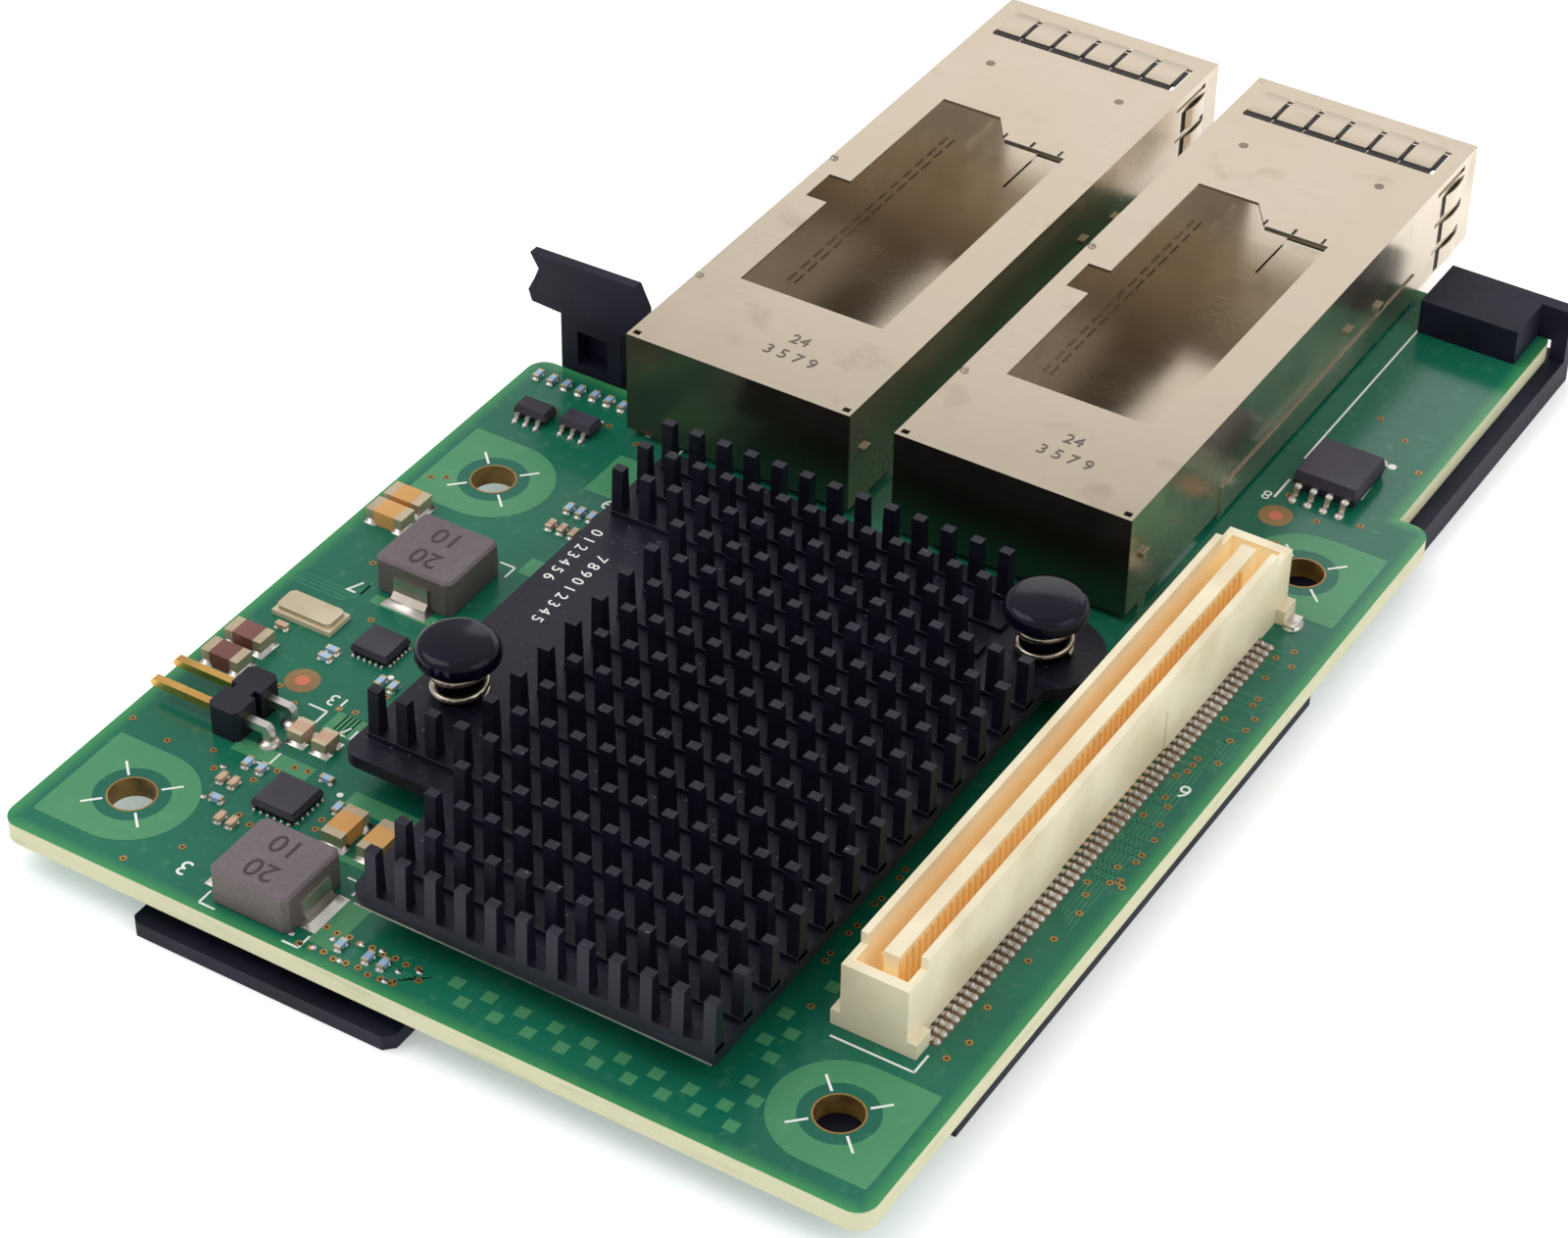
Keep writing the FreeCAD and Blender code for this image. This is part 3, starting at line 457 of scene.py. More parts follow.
COPPER = plated("bare_copper", (150, 112, 56), (186, 146, 82), 0.4, 0.5, COARSE)
COPPER_PINK = plated("fiducial_copper", (200, 108, 84), (220, 130, 100), 0.45, 0.4, COARSE)
BARE_ALUMINIUM = plated("bare_aluminium", (120, 112, 106), (206, 200, 194), 0.35, 1.0, (60, 60, 10), 0.02)
print("finishes", len(bpy.data.materials))

# %% [markdown]
# Anodised aluminium keeps the saw lines on its flats and the drawing lines on its pins, under a
# violet-black dye, with a little dust on the upward faces. The bump follows whichever lines
# belong to the side that is seen.

# %% Anodised aluminium


def anodised(name):
    finish = Finish(name, roughness=0.42, metallic=0.14, Specular_IOR_Level=0.36)
    up = finish.axes()[3]
    saw = finish.noise(240, 4, finish.stretched(0.6, 9.0, 9.0), 0.6)
    drawn = finish.noise(420, 3, finish.stretched(9.0, 9.0, 0.5), 0.6)
    colour = finish.mix(finish.noise(90, 3).ramp(0.3, 0.75), tone(15, 14, 27), tone(26, 24, 40))
    colour = finish.mix(saw.ramp(0.55, 0.7) * 0.3, colour, tone(54, 52, 76))
    dust = finish.noise(2600, 2).ramp(0.68, 0.75) * up.above(0.7)
    finish.set("Base Color", finish.mix(dust * 0.4, colour, tone(150, 146, 158)))
    finish.set("Roughness", saw * 0.2 + 0.32)
    flat = up.above(0.5)
    finish.bump(saw * flat + drawn * (1 - flat), 0.02, 0.5)
    return finish.material


ANODISED = anodised("anodised_black")
print("finishes", len(bpy.data.materials))

# %% [markdown]
# The solids already have the right shapes, so each only gets its finish and, on rigid parts, a
# hair of bevel so that edges catch the light as real edges do. The bevel is a modifier, which
# leaves the solid's own mesh as it is.

# %% Dress the solids
DRESS = {
    "pcb": (BOARD_GREEN, 0.0),
    "insulator_plate": (BLACK_PLASTIC, 0.12), "front_bracket": (BLACK_PLASTIC, 0.15),
    "heatsink": (ANODISED, 0.07), "push_pins": (GLOSS_BLACK, 0.0), "push_pin_springs": (SPRING_STEEL, 0.0),
    "controller_substrate": (DARK_GREEN, 0.0), "controller_lid": (CHIP_BLACK, 0.1),
    "thermal_pad": (THERMAL_GREY, 0.05), "mezzanine_housing": (CREAM_PLASTIC, 0.10),
    "mezzanine_hold_downs": (TINNED, 0.08), "inductor_bodies": (FERRITE, 0.12),
    "inductor_terminals": (TINNED, 0.06), "power_chips": (CHIP_BLACK, 0.05),
    "crystal_base": (CRYSTAL_CERAMIC, 0.08), "crystal_lid": (LID_METAL, 0.08),
    "flash_chip": (CHIP_BLACK, 0.06), "flash_leads": (TINNED, 0.04),
    "small_chips": (CHIP_BLACK, 0.05), "small_chip_leads": (TINNED, 0.03),
    "header_body": (SOCKET_BLACK, 0.10), "header_pins": (HEADER_PINS, 0.05),
    "large_capacitors_tan": (TAN_CERAMIC, 0.05), "large_capacitors_brown": (BROWN_CERAMIC, 0.05),
    "medium_capacitors": (PALE_CERAMIC, 0.05), "capacitor_ends": (END_METAL, 0.10),
    "small_capacitors_tan": (PALE_CERAMIC, 0.03), "small_capacitors_blue": (BLUE_CERAMIC, 0.03),
    "resistors": (BLUE_CERAMIC, 0.03), "small_part_ends": (END_METAL, 0.06),
}
PAIRS = {"cage": (CAGE_METAL, 0.0), "cage_floor": (CAGE_METAL, 0.0), "socket": (SOCKET_BLACK, 0.12),
         "socket_contacts": (GOLD, 0.0), "mezzanine_contacts": (CONTACTS, 0.03)}
DRESS.update({pair + side: dress for pair, dress in PAIRS.items() for side in ("_left", "_right")})


def soften(piece, width):
    if width:
        bevel = piece.modifiers.new("edge", "BEVEL")
        bevel.width = width * MM
        bevel.segments = 2
        bevel.limit_method = "ANGLE"
        bevel.angle_limit = math.radians(35)
        bevel.harden_normals = True


for node, (material, edge) in DRESS.items():
    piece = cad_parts[node]
    piece.data.materials.clear()
    piece.data.materials.append(material)
    soften(piece, edge)
print("dressed", len(DRESS), "of", len(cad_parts))

# %% [markdown]
# What is printed, etched or soldered on a board is only hundredths of a millimetre thick. It is
# built here as thin meshes. One small collector skins loops of points, and boxes, rings and
# domes are all such skins, so each finish ends as a single mesh.

# %% Mesh collector


def round_points(x, y, radius, sides, start=0.0, turn=2 * math.pi):
    # Points round a full circle, or along an arc with both its ends
    steps = sides if turn == 2 * math.pi else sides - 1
    angles = [start + turn * i / steps for i in range(sides)]
    return [(x + radius * math.cos(angle), y + radius * math.sin(angle)) for angle in angles]


def add_piece(name, mesh, material, slot):
    mesh.materials.clear()
    mesh.materials.append(material)
    piece = bpy.data.objects.new(name, mesh)
    scene.collection.objects.link(piece)
    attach(piece, "root")
    print(name, len(mesh.polygons), "faces")
    return piece


class Collector:
    def __init__(self):
        self.verts = []
        self.faces = []

    def loft(self, loops, top=False, bottom=False, apex=None):
        # A skin through loops of equally many points, left open, capped, or closed at an apex
        count, start = len(loops[0]), len(self.verts)
        last = start + count * (len(loops) - 1)
        around = [(i, (i + 1) % count) for i in range(count)]
        self.verts += [place(*point) for loop in loops for point in loop]
        for low in range(start, last, count):
            self.faces += [(low + i, low + j, low + count + j, low + count + i) for i, j in around]
        if top:
            self.faces.append(tuple(range(last, last + count)))
        if bottom:
            self.faces.append(tuple(reversed(range(start, start + count))))
        if apex:
            self.verts.append(place(*apex))
            self.faces += [(last + i, last + j, last + count) for i, j in around]

    def slab(self, outline, low, high):
        self.loft([[(x, y, z) for x, y in outline] for z in (low, high)], top=True)

    def box(self, x0, x1, y0, y1, z0, z1):
        self.slab([(x0, y0), (x1, y0), (x1, y1), (x0, y1)], z0, z1)

    def disc(self, x, y, radius, low, high, sides=20):
        self.slab(round_points(x, y, radius, sides), low, high)

    def washer(self, inner, outer, low, high):
        self.loft([[(*p, high) for p in inner], [(*p, high) for p in outer], [(*p, low) for p in outer]])

    def ring(self, x, y, inner, outer, low, high, sides):
        self.washer(round_points(x, y, inner, sides), round_points(x, y, outer, sides), low, high)

    def dome(self, x, y, rx, ry, tall, low=0.0, sides=14, steps=4):
        loops = []
        for step in range(steps):
            turn = step / steps * math.pi / 2
            z = low + tall * math.sin(turn)
            loops.append([(x + rx * a, y + ry * b, z) for a, b in round_points(0, 0, math.cos(turn), sides)])
        self.loft(loops, apex=(x, y, low + tall))

    def stroke(self, points, wide, low, high):
        # A line of constant width through a few points, with square ends and mitred corners
        left, right = [], []
        for index, (x, y) in enumerate(points):
            before = points[max(index - 1, 0)]
            after = points[min(index + 1, len(points) - 1)]
            along = [Vector((b[0] - a[0], b[1] - a[1])).normalized()
                     for a, b in ((before, (x, y)), ((x, y), after)) if a != b]
            side = sum((Vector((-d.y, d.x)) for d in along), Vector((0, 0))).normalized()
            reach = wide / 2 / max(side.dot(Vector((-along[0].y, along[0].x))), 0.4)
            left.append((x + side.x * reach, y + side.y * reach))
            right.append((x - side.x * reach, y - side.y * reach))
        for i in range(len(points) - 1):
            self.slab([right[i], right[i + 1], left[i + 1], left[i]], low, high)

    def finish(self, name, material, slot, smooth=False, edge=0.0):
        mesh = bpy.data.meshes.new(name)
        mesh.from_pydata([tuple(v) for v in self.verts], [], self.faces)
        mesh.update()
        shell = bmesh.new()
        shell.from_mesh(mesh)
        bmesh.ops.recalc_face_normals(shell, faces=shell.faces)
        shell.to_mesh(mesh)
        shell.free()
        for polygon in mesh.polygons:
            polygon.use_smooth = smooth
        piece = add_piece(name, mesh, material, slot)
        soften(piece, edge)
        return piece


print("collector ready")

# %% [markdown]
# Fillets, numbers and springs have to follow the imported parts, so their places are read from
# the solids. Identical parts share one node, and this finds the box of each of them by joining
# the faces that touch.

# %% Separate parts within a node


def islands(node):
    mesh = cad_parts[node].data
    parent = list(range(len(mesh.vertices)))

    def root(i):
        while parent[i] != i:
            parent[i] = parent[parent[i]]
            i = parent[i]
        return i

    where = {}
    for vertex in mesh.vertices:
        key = tuple(round(c, 7) for c in vertex.co)
        parent[vertex.index] = where.setdefault(key, vertex.index)
    for polygon in mesh.polygons:
        first = root(polygon.vertices[0])
        for index in polygon.vertices:
            parent[root(index)] = first
    groups = {}
    for vertex in mesh.vertices:
        groups.setdefault(root(vertex.index), []).append(vertex.co)
    return [box_round(points) for points in groups.values()]


print("inductors", len(islands("inductor_bodies")))

# %% [markdown]
# Under the mask, copper is poured round each mounting hole: square towards the board's side and
# round towards its middle. The dark ring is a moat without copper, and four printed ticks mark
# where a screw head ends. The insulating sheet closes the two right holes from below.

# %% Copper pours and rings at the mounting holes
SKIN = 0.015
PRINT = 0.03
HOLES = ((6.0, 6.8), (BOARD_W - 6.0, 6.8), (6.1, 49.3), (BOARD_W - 6.0, 71.8))
RIGHT_HOLES = HOLES[1::2]
HOLE_R, MOAT_R, POUR_R, POUR_REACH = 1.65, 2.7, 4.7, 4.75
TICK = (2.0, 3.5)
SHEET_DISC_R, SHEET_DROP = 2.6, (0.3, 0.1)


def pour_outline(x, y, side):
    # A half circle on the inner side closed by a square towards the edge
    arc = round_points(x, y, POUR_R, 22, side * math.pi / 2, math.pi)
    edge = x + side * POUR_REACH
    return arc + [(edge, arc[-1][1]), (edge, arc[0][1])]


def punched(collector, outline, x, y, radius, sides=72):
    # A flat plate between an outline and a round hole, walked round by angle
    centre = Vector((x, y))
    inner = round_points(x, y, radius, sides)
    outer = []
    for point in inner:
        ray = Vector(point) - centre
        reaches = []
        for a, b in zip(outline, outline[1:] + outline[:1]):
            edge, to_a = Vector(b) - Vector(a), Vector(a) - centre
            cross = ray.x * edge.y - ray.y * edge.x
            if abs(cross) > 1e-9:
                along_ray = (to_a.x * edge.y - to_a.y * edge.x) / cross
                along_edge = (to_a.x * ray.y - to_a.y * ray.x) / cross
                if along_ray > 0 and -1e-6 <= along_edge <= 1 + 1e-6:
                    reaches.append(along_ray)
        outer.append(tuple(centre + ray * min(reaches)))
    collector.washer(inner, outer, 0, SKIN)


pours, moats, silk, sheet = Collector(), Collector(), Collector(), Collector()
for x, y in RIGHT_HOLES:
    sheet.disc(x, y, SHEET_DISC_R, -BOARD_T - SHEET_DROP[0], -BOARD_T - SHEET_DROP[1], 32)
sheet.finish("sheet_below_holes", BLACK_PLASTIC, "black_plastic")
for x, y in HOLES:
    side = -1 if x < BOARD_W / 2 else 1
    punched(pours, pour_outline(x, y, side), x, y, MOAT_R)
    moats.ring(x, y, HOLE_R + 0.02, MOAT_R, 0, SKIN * 0.8, 48)
    for quarter in range(4):
        turn = math.pi / 4 + quarter * math.pi / 2
        tick = [(x + r * math.cos(turn), y + r * math.sin(turn)) for r in TICK]
        silk.stroke(tick, 0.18, SKIN, PRINT + 0.01)
print("pours", len(HOLES))

# %% [markdown]
# Beside the cooler the copper layer is balanced with rows of small squares, so that plating
# grows evenly. Larger rectangles carry current to the inductors. All of them show as lighter
# green through the mask.

# %% Copper squares and pours
SQUARE, SQUARE_PITCH = 0.95, 2.55
SINGLES = ((55.8, 16.3), (54.5, 12.6), (55.8, 11.2), (54.6, 9.9), (55.8, 8.7), (55.8, 6.2), (57.0, 4.9))
RECTANGLES = ((24.6, 26.6, 1.6, 6.2), (18.6, 25.4, 13.6, 15.2), (8.6, 15.0, 14.2, 15.6),
              (12.6, 16.8, 19.2, 21.4), (19.0, 24.6, 9.0, 9.6), (7.0, 12.6, 32.4, 33.4),
              (14.0, 17.0, 41.0, 43.0), (12.4, 16.9, 52.0, 57.0), (3.4, 6.4, 19.4, 20.0))

rows = [(start + SQUARE_PITCH * step, y) for step in range(9) for start, y in ((35.2, 3.6), (36.5, 2.3))]
for x, y in rows + list(SINGLES):
    pours.box(x - SQUARE / 2, x + SQUARE / 2, y - SQUARE / 2, y + SQUARE / 2, 0, SKIN)
for rectangle in RECTANGLES:
    pours.box(*rectangle, 0, SKIN)
print("squares", len(rows) + len(SINGLES), "rectangles", len(RECTANGLES))

# %% [markdown]
# Tracks leave the connector's contacts one by one, turn by 45 degrees and end in small plated
# holes. Which contacts have one is drawn by chance. The bundles elsewhere are loops: the same
# route shifted sideways, so neighbours stay parallel.

# %% Tracks
tracks, via_rings, via_hole_shade = Collector(), Collector(), Collector()
VIA_R = 0.27
CONTACT_COUNT = 60
CONTACT_HALF = 0.18
BARE_BELOW_Y = 33.0


def via(x, y):
    via_rings.ring(x, y, VIA_R * 0.42, VIA_R, 0, PRINT, 14)
    # painted shade: a dark disc for the shade inside the via's hole
    via_hole_shade.disc(x, y, VIA_R * 0.44, 0, PRINT * 0.8, 10)


def route(points, wide=0.12):
    tracks.stroke(points, wide, 0, SKIN)


contacts = span("mezzanine_contacts_right")
pitch = (contacts.y1 - contacts.y0 - 2 * CONTACT_HALF) / (CONTACT_COUNT - 1)
contact_ys = [contacts.y0 + CONTACT_HALF + pitch * i for i in range(CONTACT_COUNT)]
for y in contact_ys:
    kind = random.random()
    if y < BARE_BELOW_Y:
        continue
    if kind < 0.34:
        x = contacts.x1 + random.choice((0.7, 1.1, 1.7))
        route([(contacts.x1, y), (x, y)], 0.14)
        via(x, y)
    elif kind < 0.62:
        x = contacts.x1 + random.choice((1.5, 2.1, 2.5))
        drop = random.choice((-1, 1)) * 0.5
        route([(contacts.x1, y), (x - 0.5, y), (x, y + drop)], 0.14)
        via(x, y + drop)
for lane in range(5):
    x, lift = contacts.x1 + 0.6 + 0.34 * lane, 0.3 * lane
    route([(x, 30.5 - lane * 0.34), (x, 47.0 + lift), (x + 1.2, 48.6 + lift), (x + 1.2, 52.0)])
for lane in range(6):
    x, y = 26.0 + 0.3 * lane, 1.3 + 0.25 * lane
    route([(x, y), (x + 5.5, y), (x + 6.6, 2.6 + 0.2 * lane)])
for lane in range(4):
    x, y = 13.4 + 0.35 * lane, 31.5 + 0.4 * lane
    route([(x, 15.9), (x, 21.5), (x + 1.8, 23.4), (x + 1.8, 27.0)])
    route([(1.0, y), (5.2, y), (6.0, y + 0.9), (6.0, y + 1.7)], 0.13)
print("contact pitch", round(pitch, 3))

# %% [markdown]
# Plated holes stitch the layers together. They are scattered round the small parts and stand in
# loose rows beside the inductors and the cooler.

# %% Plated holes
VIAS = (
    (9.6, 1.4), (12.2, 4.4), (9.0, 11.9), (4.5, 12.5), (1.0, 13.1), (55.5, 14.0), (7.8, 13.4), (9.4, 20.4),
    (7.4, 21.4), (13.4, 9.0), (14.6, 8.6), (12.0, 12.4), (12.8, 14.0), (13.6, 14.9), (14.6, 15.1),
    (12.4, 21.6), (13.6, 21.9), (16.2, 9.0), (17.4, 9.2), (18.6, 10.6), (18.4, 11.6), (14.4, 24.4),
    (15.4, 25.2), (13.4, 31.4), (8.4, 30.8), (16.2, 36.4), (15.4, 38.0), (4.6, 36.2), (5.4, 39.4),
    (2.0, 47.0), (3.0, 47.6), (17.0, 58.4), (12.6, 58.8), (9.6, 59.6), (57.4, 68.9), (56.6, 72.4),
    (58.8, 74.0), (60.2, 78.0), (63.2, 79.2), (57.0, 79.8), (64.0, 87.6), (61.4, 90.8), (58.6, 92.4),
    (31.6, 1.4), (33.0, 2.4), (65.2, 14.6), (65.7, 16.6), (65.1, 20.0), (65.2, 25.2), (65.6, 27.9),
    (65.8, 31.0), (65.3, 32.8), (66.1, 34.7), (67.0, 34.7), (54.1, 18.1), (54.0, 18.9), (54.0, 21.2),
    (54.1, 22.1), (54.0, 24.5), (54.1, 25.2), (54.1, 27.6), (54.0, 28.5))

for x, y in VIAS:
    via(x, y)
for step in range(9):
    via(24.4 + 0.92 * step, 1.1 + 0.1 * (step % 3))
    via(25.0 + 0.92 * step, 3.3 - 0.12 * (step % 2))
for step in range(4):
    via(16.8 + 0.75 * step, 18.0 + 0.05 * step)
    via(17.2 + 0.8 * step, 7.9)
for x, y in HOLES:
    via_rings.ring(x, y, HOLE_R, HOLE_R + 0.13, 0, PRINT, 48)
print("scattered vias", len(VIAS))

# %% [markdown]
# White print helps whoever assembles the board: corner brackets round the big parts, a dot at
# the first lead, a line where the cage's edge should lie. It is raised by a few hundredths of a
# millimetre, as real ink is.

# %% Printed marks


def ink(points, wide=0.16):
    silk.stroke(points, wide, 0, PRINT)


def bracket(x0, x1, y0, y1, arm, corners):
    # Corners are named a to d, from the low x and y corner anticlockwise
    places = ((x0, y0, 1, 1), (x1, y0, -1, 1), (x1, y1, -1, -1), (x0, y1, 1, -1))
    for key, (x, y, dx, dy) in zip("abcd", places):
        if key in corners:
            ink([(x + dx * arm, y), (x, y)])
            ink([(x, y + dy * arm), (x, y)])


corner_x = span("mezzanine_housing").x1 + 0.45
ink([(57.9, 12.4), (corner_x, 12.4)])
ink([(corner_x, 12.4), (corner_x, 14.2)])
bracket(16.5, 24.6, 0.7, 7.9, 1.3, "abcd")
bracket(6.0, 13.6, 32.9, 41.3, 1.3, "bcd")
bracket(5.5, 11.9, 14.0, 20.9, 1.6, "bc")
bracket(8.2, 16.0, 59.0, 64.0, 1.0, "b")
ink([(55.96, 84.6), (55.96, 106.0)])
ink([(56.2, 79.0), (56.2, 81.6)], 0.2)
ink([(61.8, 82.2), (61.7, 84.2)])
ink([(12.4, 64.4), (14.8, 64.4), (14.8, 60.2)])
for x, y, radius in ((62.0, 87.2, 0.34), (17.9, 14.3, 0.24), (13.4, 26.3, 0.24)):
    silk.disc(x, y, radius, 0, PRINT)
print("print", len(silk.faces), "faces")

# %% [markdown]
# A few plain numbers stand on the board, the cooler, the cages and the inductors. Each is set
# as type, thickened to an ink film and turned into a mesh, because a mesh is what exports.

# %% Plain numbers
BOARD_NUMBERS = (
    ("3", 13.6, 2.9, 2.0), ("13", 11.9, 22.2, 1.7), ("17", 14.6, 19.9, 1.5), ("7", 5.2, 33.4, 2.0),
    ("6", 66.0, 45.6, 1.9), ("9", 15.0, 51.4, 1.7), ("5", 12.8, 60.6, 1.6), ("8", 55.6, 79.0, 1.5))
COOLER_ROWS = (("0 1 2 3 4 5 6", 18.8, 41.2), ("7 8 9 0 1 2 3 4 5", 20.8, 37.8))
COOLER_BASE = span("heatsink").z0 + 1.0


def number(text, x, y, size, turn, low=0.0, material=SILK_WHITE, slot=BOARD_SLOT):
    name = "number_" + text.replace(" ", "") + "_" + str(round(x))
    curve = bpy.data.curves.new(name, "FONT")
    curve.body = text
    curve.size = size * MM
    curve.extrude = PRINT * MM / 2
    curve.align_x = "CENTER"
    curve.align_y = "CENTER"
    label = bpy.data.objects.new(name + "_text", curve)
    scene.collection.objects.link(label)
    label.rotation_euler = (0, 0, math.radians(turn))
    label.location = place(x, y, low + PRINT / 2)
    bpy.context.view_layer.update()
    made = bpy.data.meshes.new_from_object(label.evaluated_get(bpy.context.evaluated_depsgraph_get()))
    made.transform(label.matrix_world)
    bpy.data.objects.remove(label)
    add_piece(name, made, material, slot)


for text, x, y, size in BOARD_NUMBERS:
    number(text, x, y, size, 180)
for text, x, y in COOLER_ROWS:
    number(text, x, y, 1.3, 270, COOLER_BASE, slot="anodised_black")
for cage in CAGES:
    number("24", cage.x0 + 11.4, cage.y0 + 6.2, 1.6, 2, cage.z1, LASER_GREY, "cage_metal")
    number("3 5 7 9", cage.x0 + 11.8, cage.y0 + 4.1, 1.6, 0, cage.z1, LASER_GREY, "cage_metal")
for body in islands("inductor_bodies"):
    for text, row in (("10", 1.35), ("20", -1.35)):
        number(text, body.x, body.y + row, 2.4, 180, body.z1, INK_DARK, "ferrite_grey")
print("numbers on a base at", round(COOLER_BASE, 2))

# %% [markdown]
# Every soldered end sits in a small bright fillet. Chip parts get a sloping skirt, leads get a
# low dome at the toe, and the connector's row of tails stands on a strip of brown mask.

# %% Solder
solder, strip = Collector(), Collector()
BLOBS = ((23.4, 1.6), (23.7, 2.6), (25.4, 1.3), (26.0, 2.6), (27.6, 1.2), (27.9, 3.2), (29.4, 3.4),
         (31.2, 1.2), (31.4, 2.4), (32.6, 3.1), (9.4, 12.4), (10.2, 9.2), (16.9, 8.8))


def fillet(box, spread, tall, grow=0.0):
    # A skirt of solder that slopes from a part's end down to its pad
    loops = []
    for reach, z in ((spread, 0.005), (spread * 0.35, tall * 0.3), (0.0, tall)):
        out = grow + reach
        x0, x1, y0, y1 = box.x0 - out, box.x1 + out, box.y0 - out, box.y1 + out
        loops.append([(x0, y0, z), (x1, y0, z), (x1, y1, z), (x0, y1, z)])
    solder.loft(loops, top=True)


for node, spread, share in (("small_part_ends", 0.07, 0.5), ("capacitor_ends", 0.2, 0.3)):
    for end in islands(node):
        fillet(end, spread, (end.z1 - end.z0) * share)
for node, broad in (("flash_leads", 0.95), ("small_chip_leads", 0.7)):
    middle = span(node).y
    for lead in islands(node):
        outward, toe = (1, lead.y1) if lead.y > middle else (-1, lead.y0)
        wide = lead.x1 - lead.x0
        solder.dome(lead.x, toe - outward * 0.25, wide * broad, 0.5, 0.3)
        if node == "flash_leads":
            solder.dome(lead.x, lead.y - outward * 0.4, wide * 0.85, 0.42, 0.3, lead.z1 - 0.14)
strip.box(contacts.x1 - 1.15, contacts.x1 + 0.12, contacts.y0 - 0.2, contacts.y1 + 0.2, 0, 0.025)
strip.finish("mask_strip", STRIP_BROWN, BOARD_SLOT)
for y in contact_ys:
    solder.dome(contacts.x1 - 0.2, y, 0.36, 0.3, 0.26, 0.0, 10, 3)
    solder.dome(contacts.x1 - 0.78, y, 0.26, 0.28, 0.36, 0.0, 8, 3)
tabs = span("mezzanine_hold_downs")
for x in (tabs.x0 + 0.45, tabs.x1 - 0.45):
    solder.dome(x, tabs.y, 0.8, 1.0, 0.34)
for strap in islands("inductor_terminals"):
    fillet(strap, 0.35, 0.28, 0.1)
for pin in islands("header_pins"):
    solder.dome(pin.x1 - 0.32, pin.y, 0.85, 0.85, 0.42)
for x, y in BLOBS:
    solder.dome(x, y, 0.27, 0.22, 0.1)
solder.finish("solder_fillets", SOLDER, "tinned_metal", smooth=True)

# %% [markdown]
# Leadless power chips show only a row of bright toes round their foot. The two alignment marks
# are a copper dot in a clear window of brown resin, used by the placing machine's camera.

# %% Chip toes, alignment marks and board skins
TOES, TOE_INSET, TOE_OUT = 6, 0.35, 0.02
toes, windows, dots = Collector(), Collector(), Collector()

for chip in islands("power_chips"):
    for step in range(TOES):
        share = step / (TOES - 1)
        x = chip.x0 + TOE_INSET + (chip.x1 - chip.x0 - 2 * TOE_INSET) * share
        y = chip.y0 + TOE_INSET + (chip.y1 - chip.y0 - 2 * TOE_INSET) * share
        for edge in (chip.y0 - TOE_OUT, chip.y1 + TOE_OUT):
            toes.dome(x, edge, 0.15, 0.26, 0.22, 0.0, 10, 3)
        for edge in (chip.x0 - TOE_OUT, chip.x1 + TOE_OUT):
            toes.dome(edge, y, 0.26, 0.15, 0.22, 0.0, 10, 3)
toes.finish("power_chip_toes", SOLDER, "tinned_metal", smooth=True)
for x, y in ((8.4, 22.7), (57.3, 77.0)):
    windows.disc(x, y, 1.3, 0, SKIN, 36)
    dots.disc(x, y, 0.55, 0, PRINT, 24)
for collector, name, material in (
        (pours, "copper_pours", COPPER_GREEN), (moats, "hole_moats", DARK_GREEN),
        (tracks, "tracks", TRACK_GREEN), (silk, "printed_marks", SILK_WHITE),
        (via_rings, "via_rings", COPPER), (via_hole_shade, "via_hole_shade", PAINTED_HOLE_SHADE),
        (windows, "alignment_windows", BROWN_RESIN), (dots, "alignment_dots", COPPER_PINK)):
    collector.finish(name, material, BOARD_SLOT)

# %% [markdown]
# The push pins are turned shapes, so each is one profile spun about its axis: a barbed foot, a
# shank and a low crowned head with a gloss skin. The head rests on its spring.

# %% Push pin heads
HEAD_EDGE, CROWN_ROUND, SHANK_R = 0.8, 0.8, 1.45
heads = Collector()
pin_boxes = islands("push_pins")
spring = span("push_pin_springs")

for pin in pin_boxes:
    head_r, rim = (pin.x1 - pin.x0) / 2, spring.z1
    crown = pin.z1 - rim - HEAD_EDGE
    profile = [(0.7, pin.z0), (1.9, -BOARD_T - 0.05), (SHANK_R, -BOARD_T - 0.04), (SHANK_R, rim),
               (head_r - 0.35, rim), (head_r - 0.12, rim + 0.06), (head_r, rim + 0.22), (head_r, rim + 0.62),
               (head_r - 0.07, rim + HEAD_EDGE)]
    for step in range(1, 7):
        turn = step / 6 * math.pi / 2
        profile.append((head_r - 0.07 - CROWN_ROUND * (1 - math.cos(turn)),
                        rim + HEAD_EDGE + crown * 0.8 * math.sin(turn)))
    for share in (0.7, 0.45, 0.2, 0.01):
        profile.append(((head_r - 0.07 - CROWN_ROUND) * share, pin.z1 - crown * 0.2 * share ** 2))
    loops = [[(*p, z) for p in round_points(pin.x, pin.y, r, 48)] for r, z in profile]
    heads.loft(loops, top=True, bottom=True)
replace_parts(heads.finish("push_pin_heads", GLOSS_BLACK, "connector_black", smooth=True), "push_pins")

# %% [markdown]
# Each spring is a wire swept along a helix whose pitch opens in the middle and closes at the
# ground ends, as on the real one. The wire's section is a circle of ten points that stays
# upright and points away from the axis at every step.

# %% Coil springs
SPRING_R, WIRE_R = 1.87, 0.28
TURNS, COIL_STEPS = 2.7, 140
coils = Collector()


def wire_loop(x, y, share):
    # One section of the wire, share of the way up the spring
    angle = 2 * math.pi * TURNS * share
    lift = share - 0.10 * math.sin(2 * math.pi * share)
    middle = spring.z0 + WIRE_R + (spring.z1 - spring.z0 - 2 * WIRE_R) * lift
    return [(x + (SPRING_R + out) * math.cos(angle), y + (SPRING_R + out) * math.sin(angle), middle + up)
            for out, up in round_points(0, 0, WIRE_R, 10)]


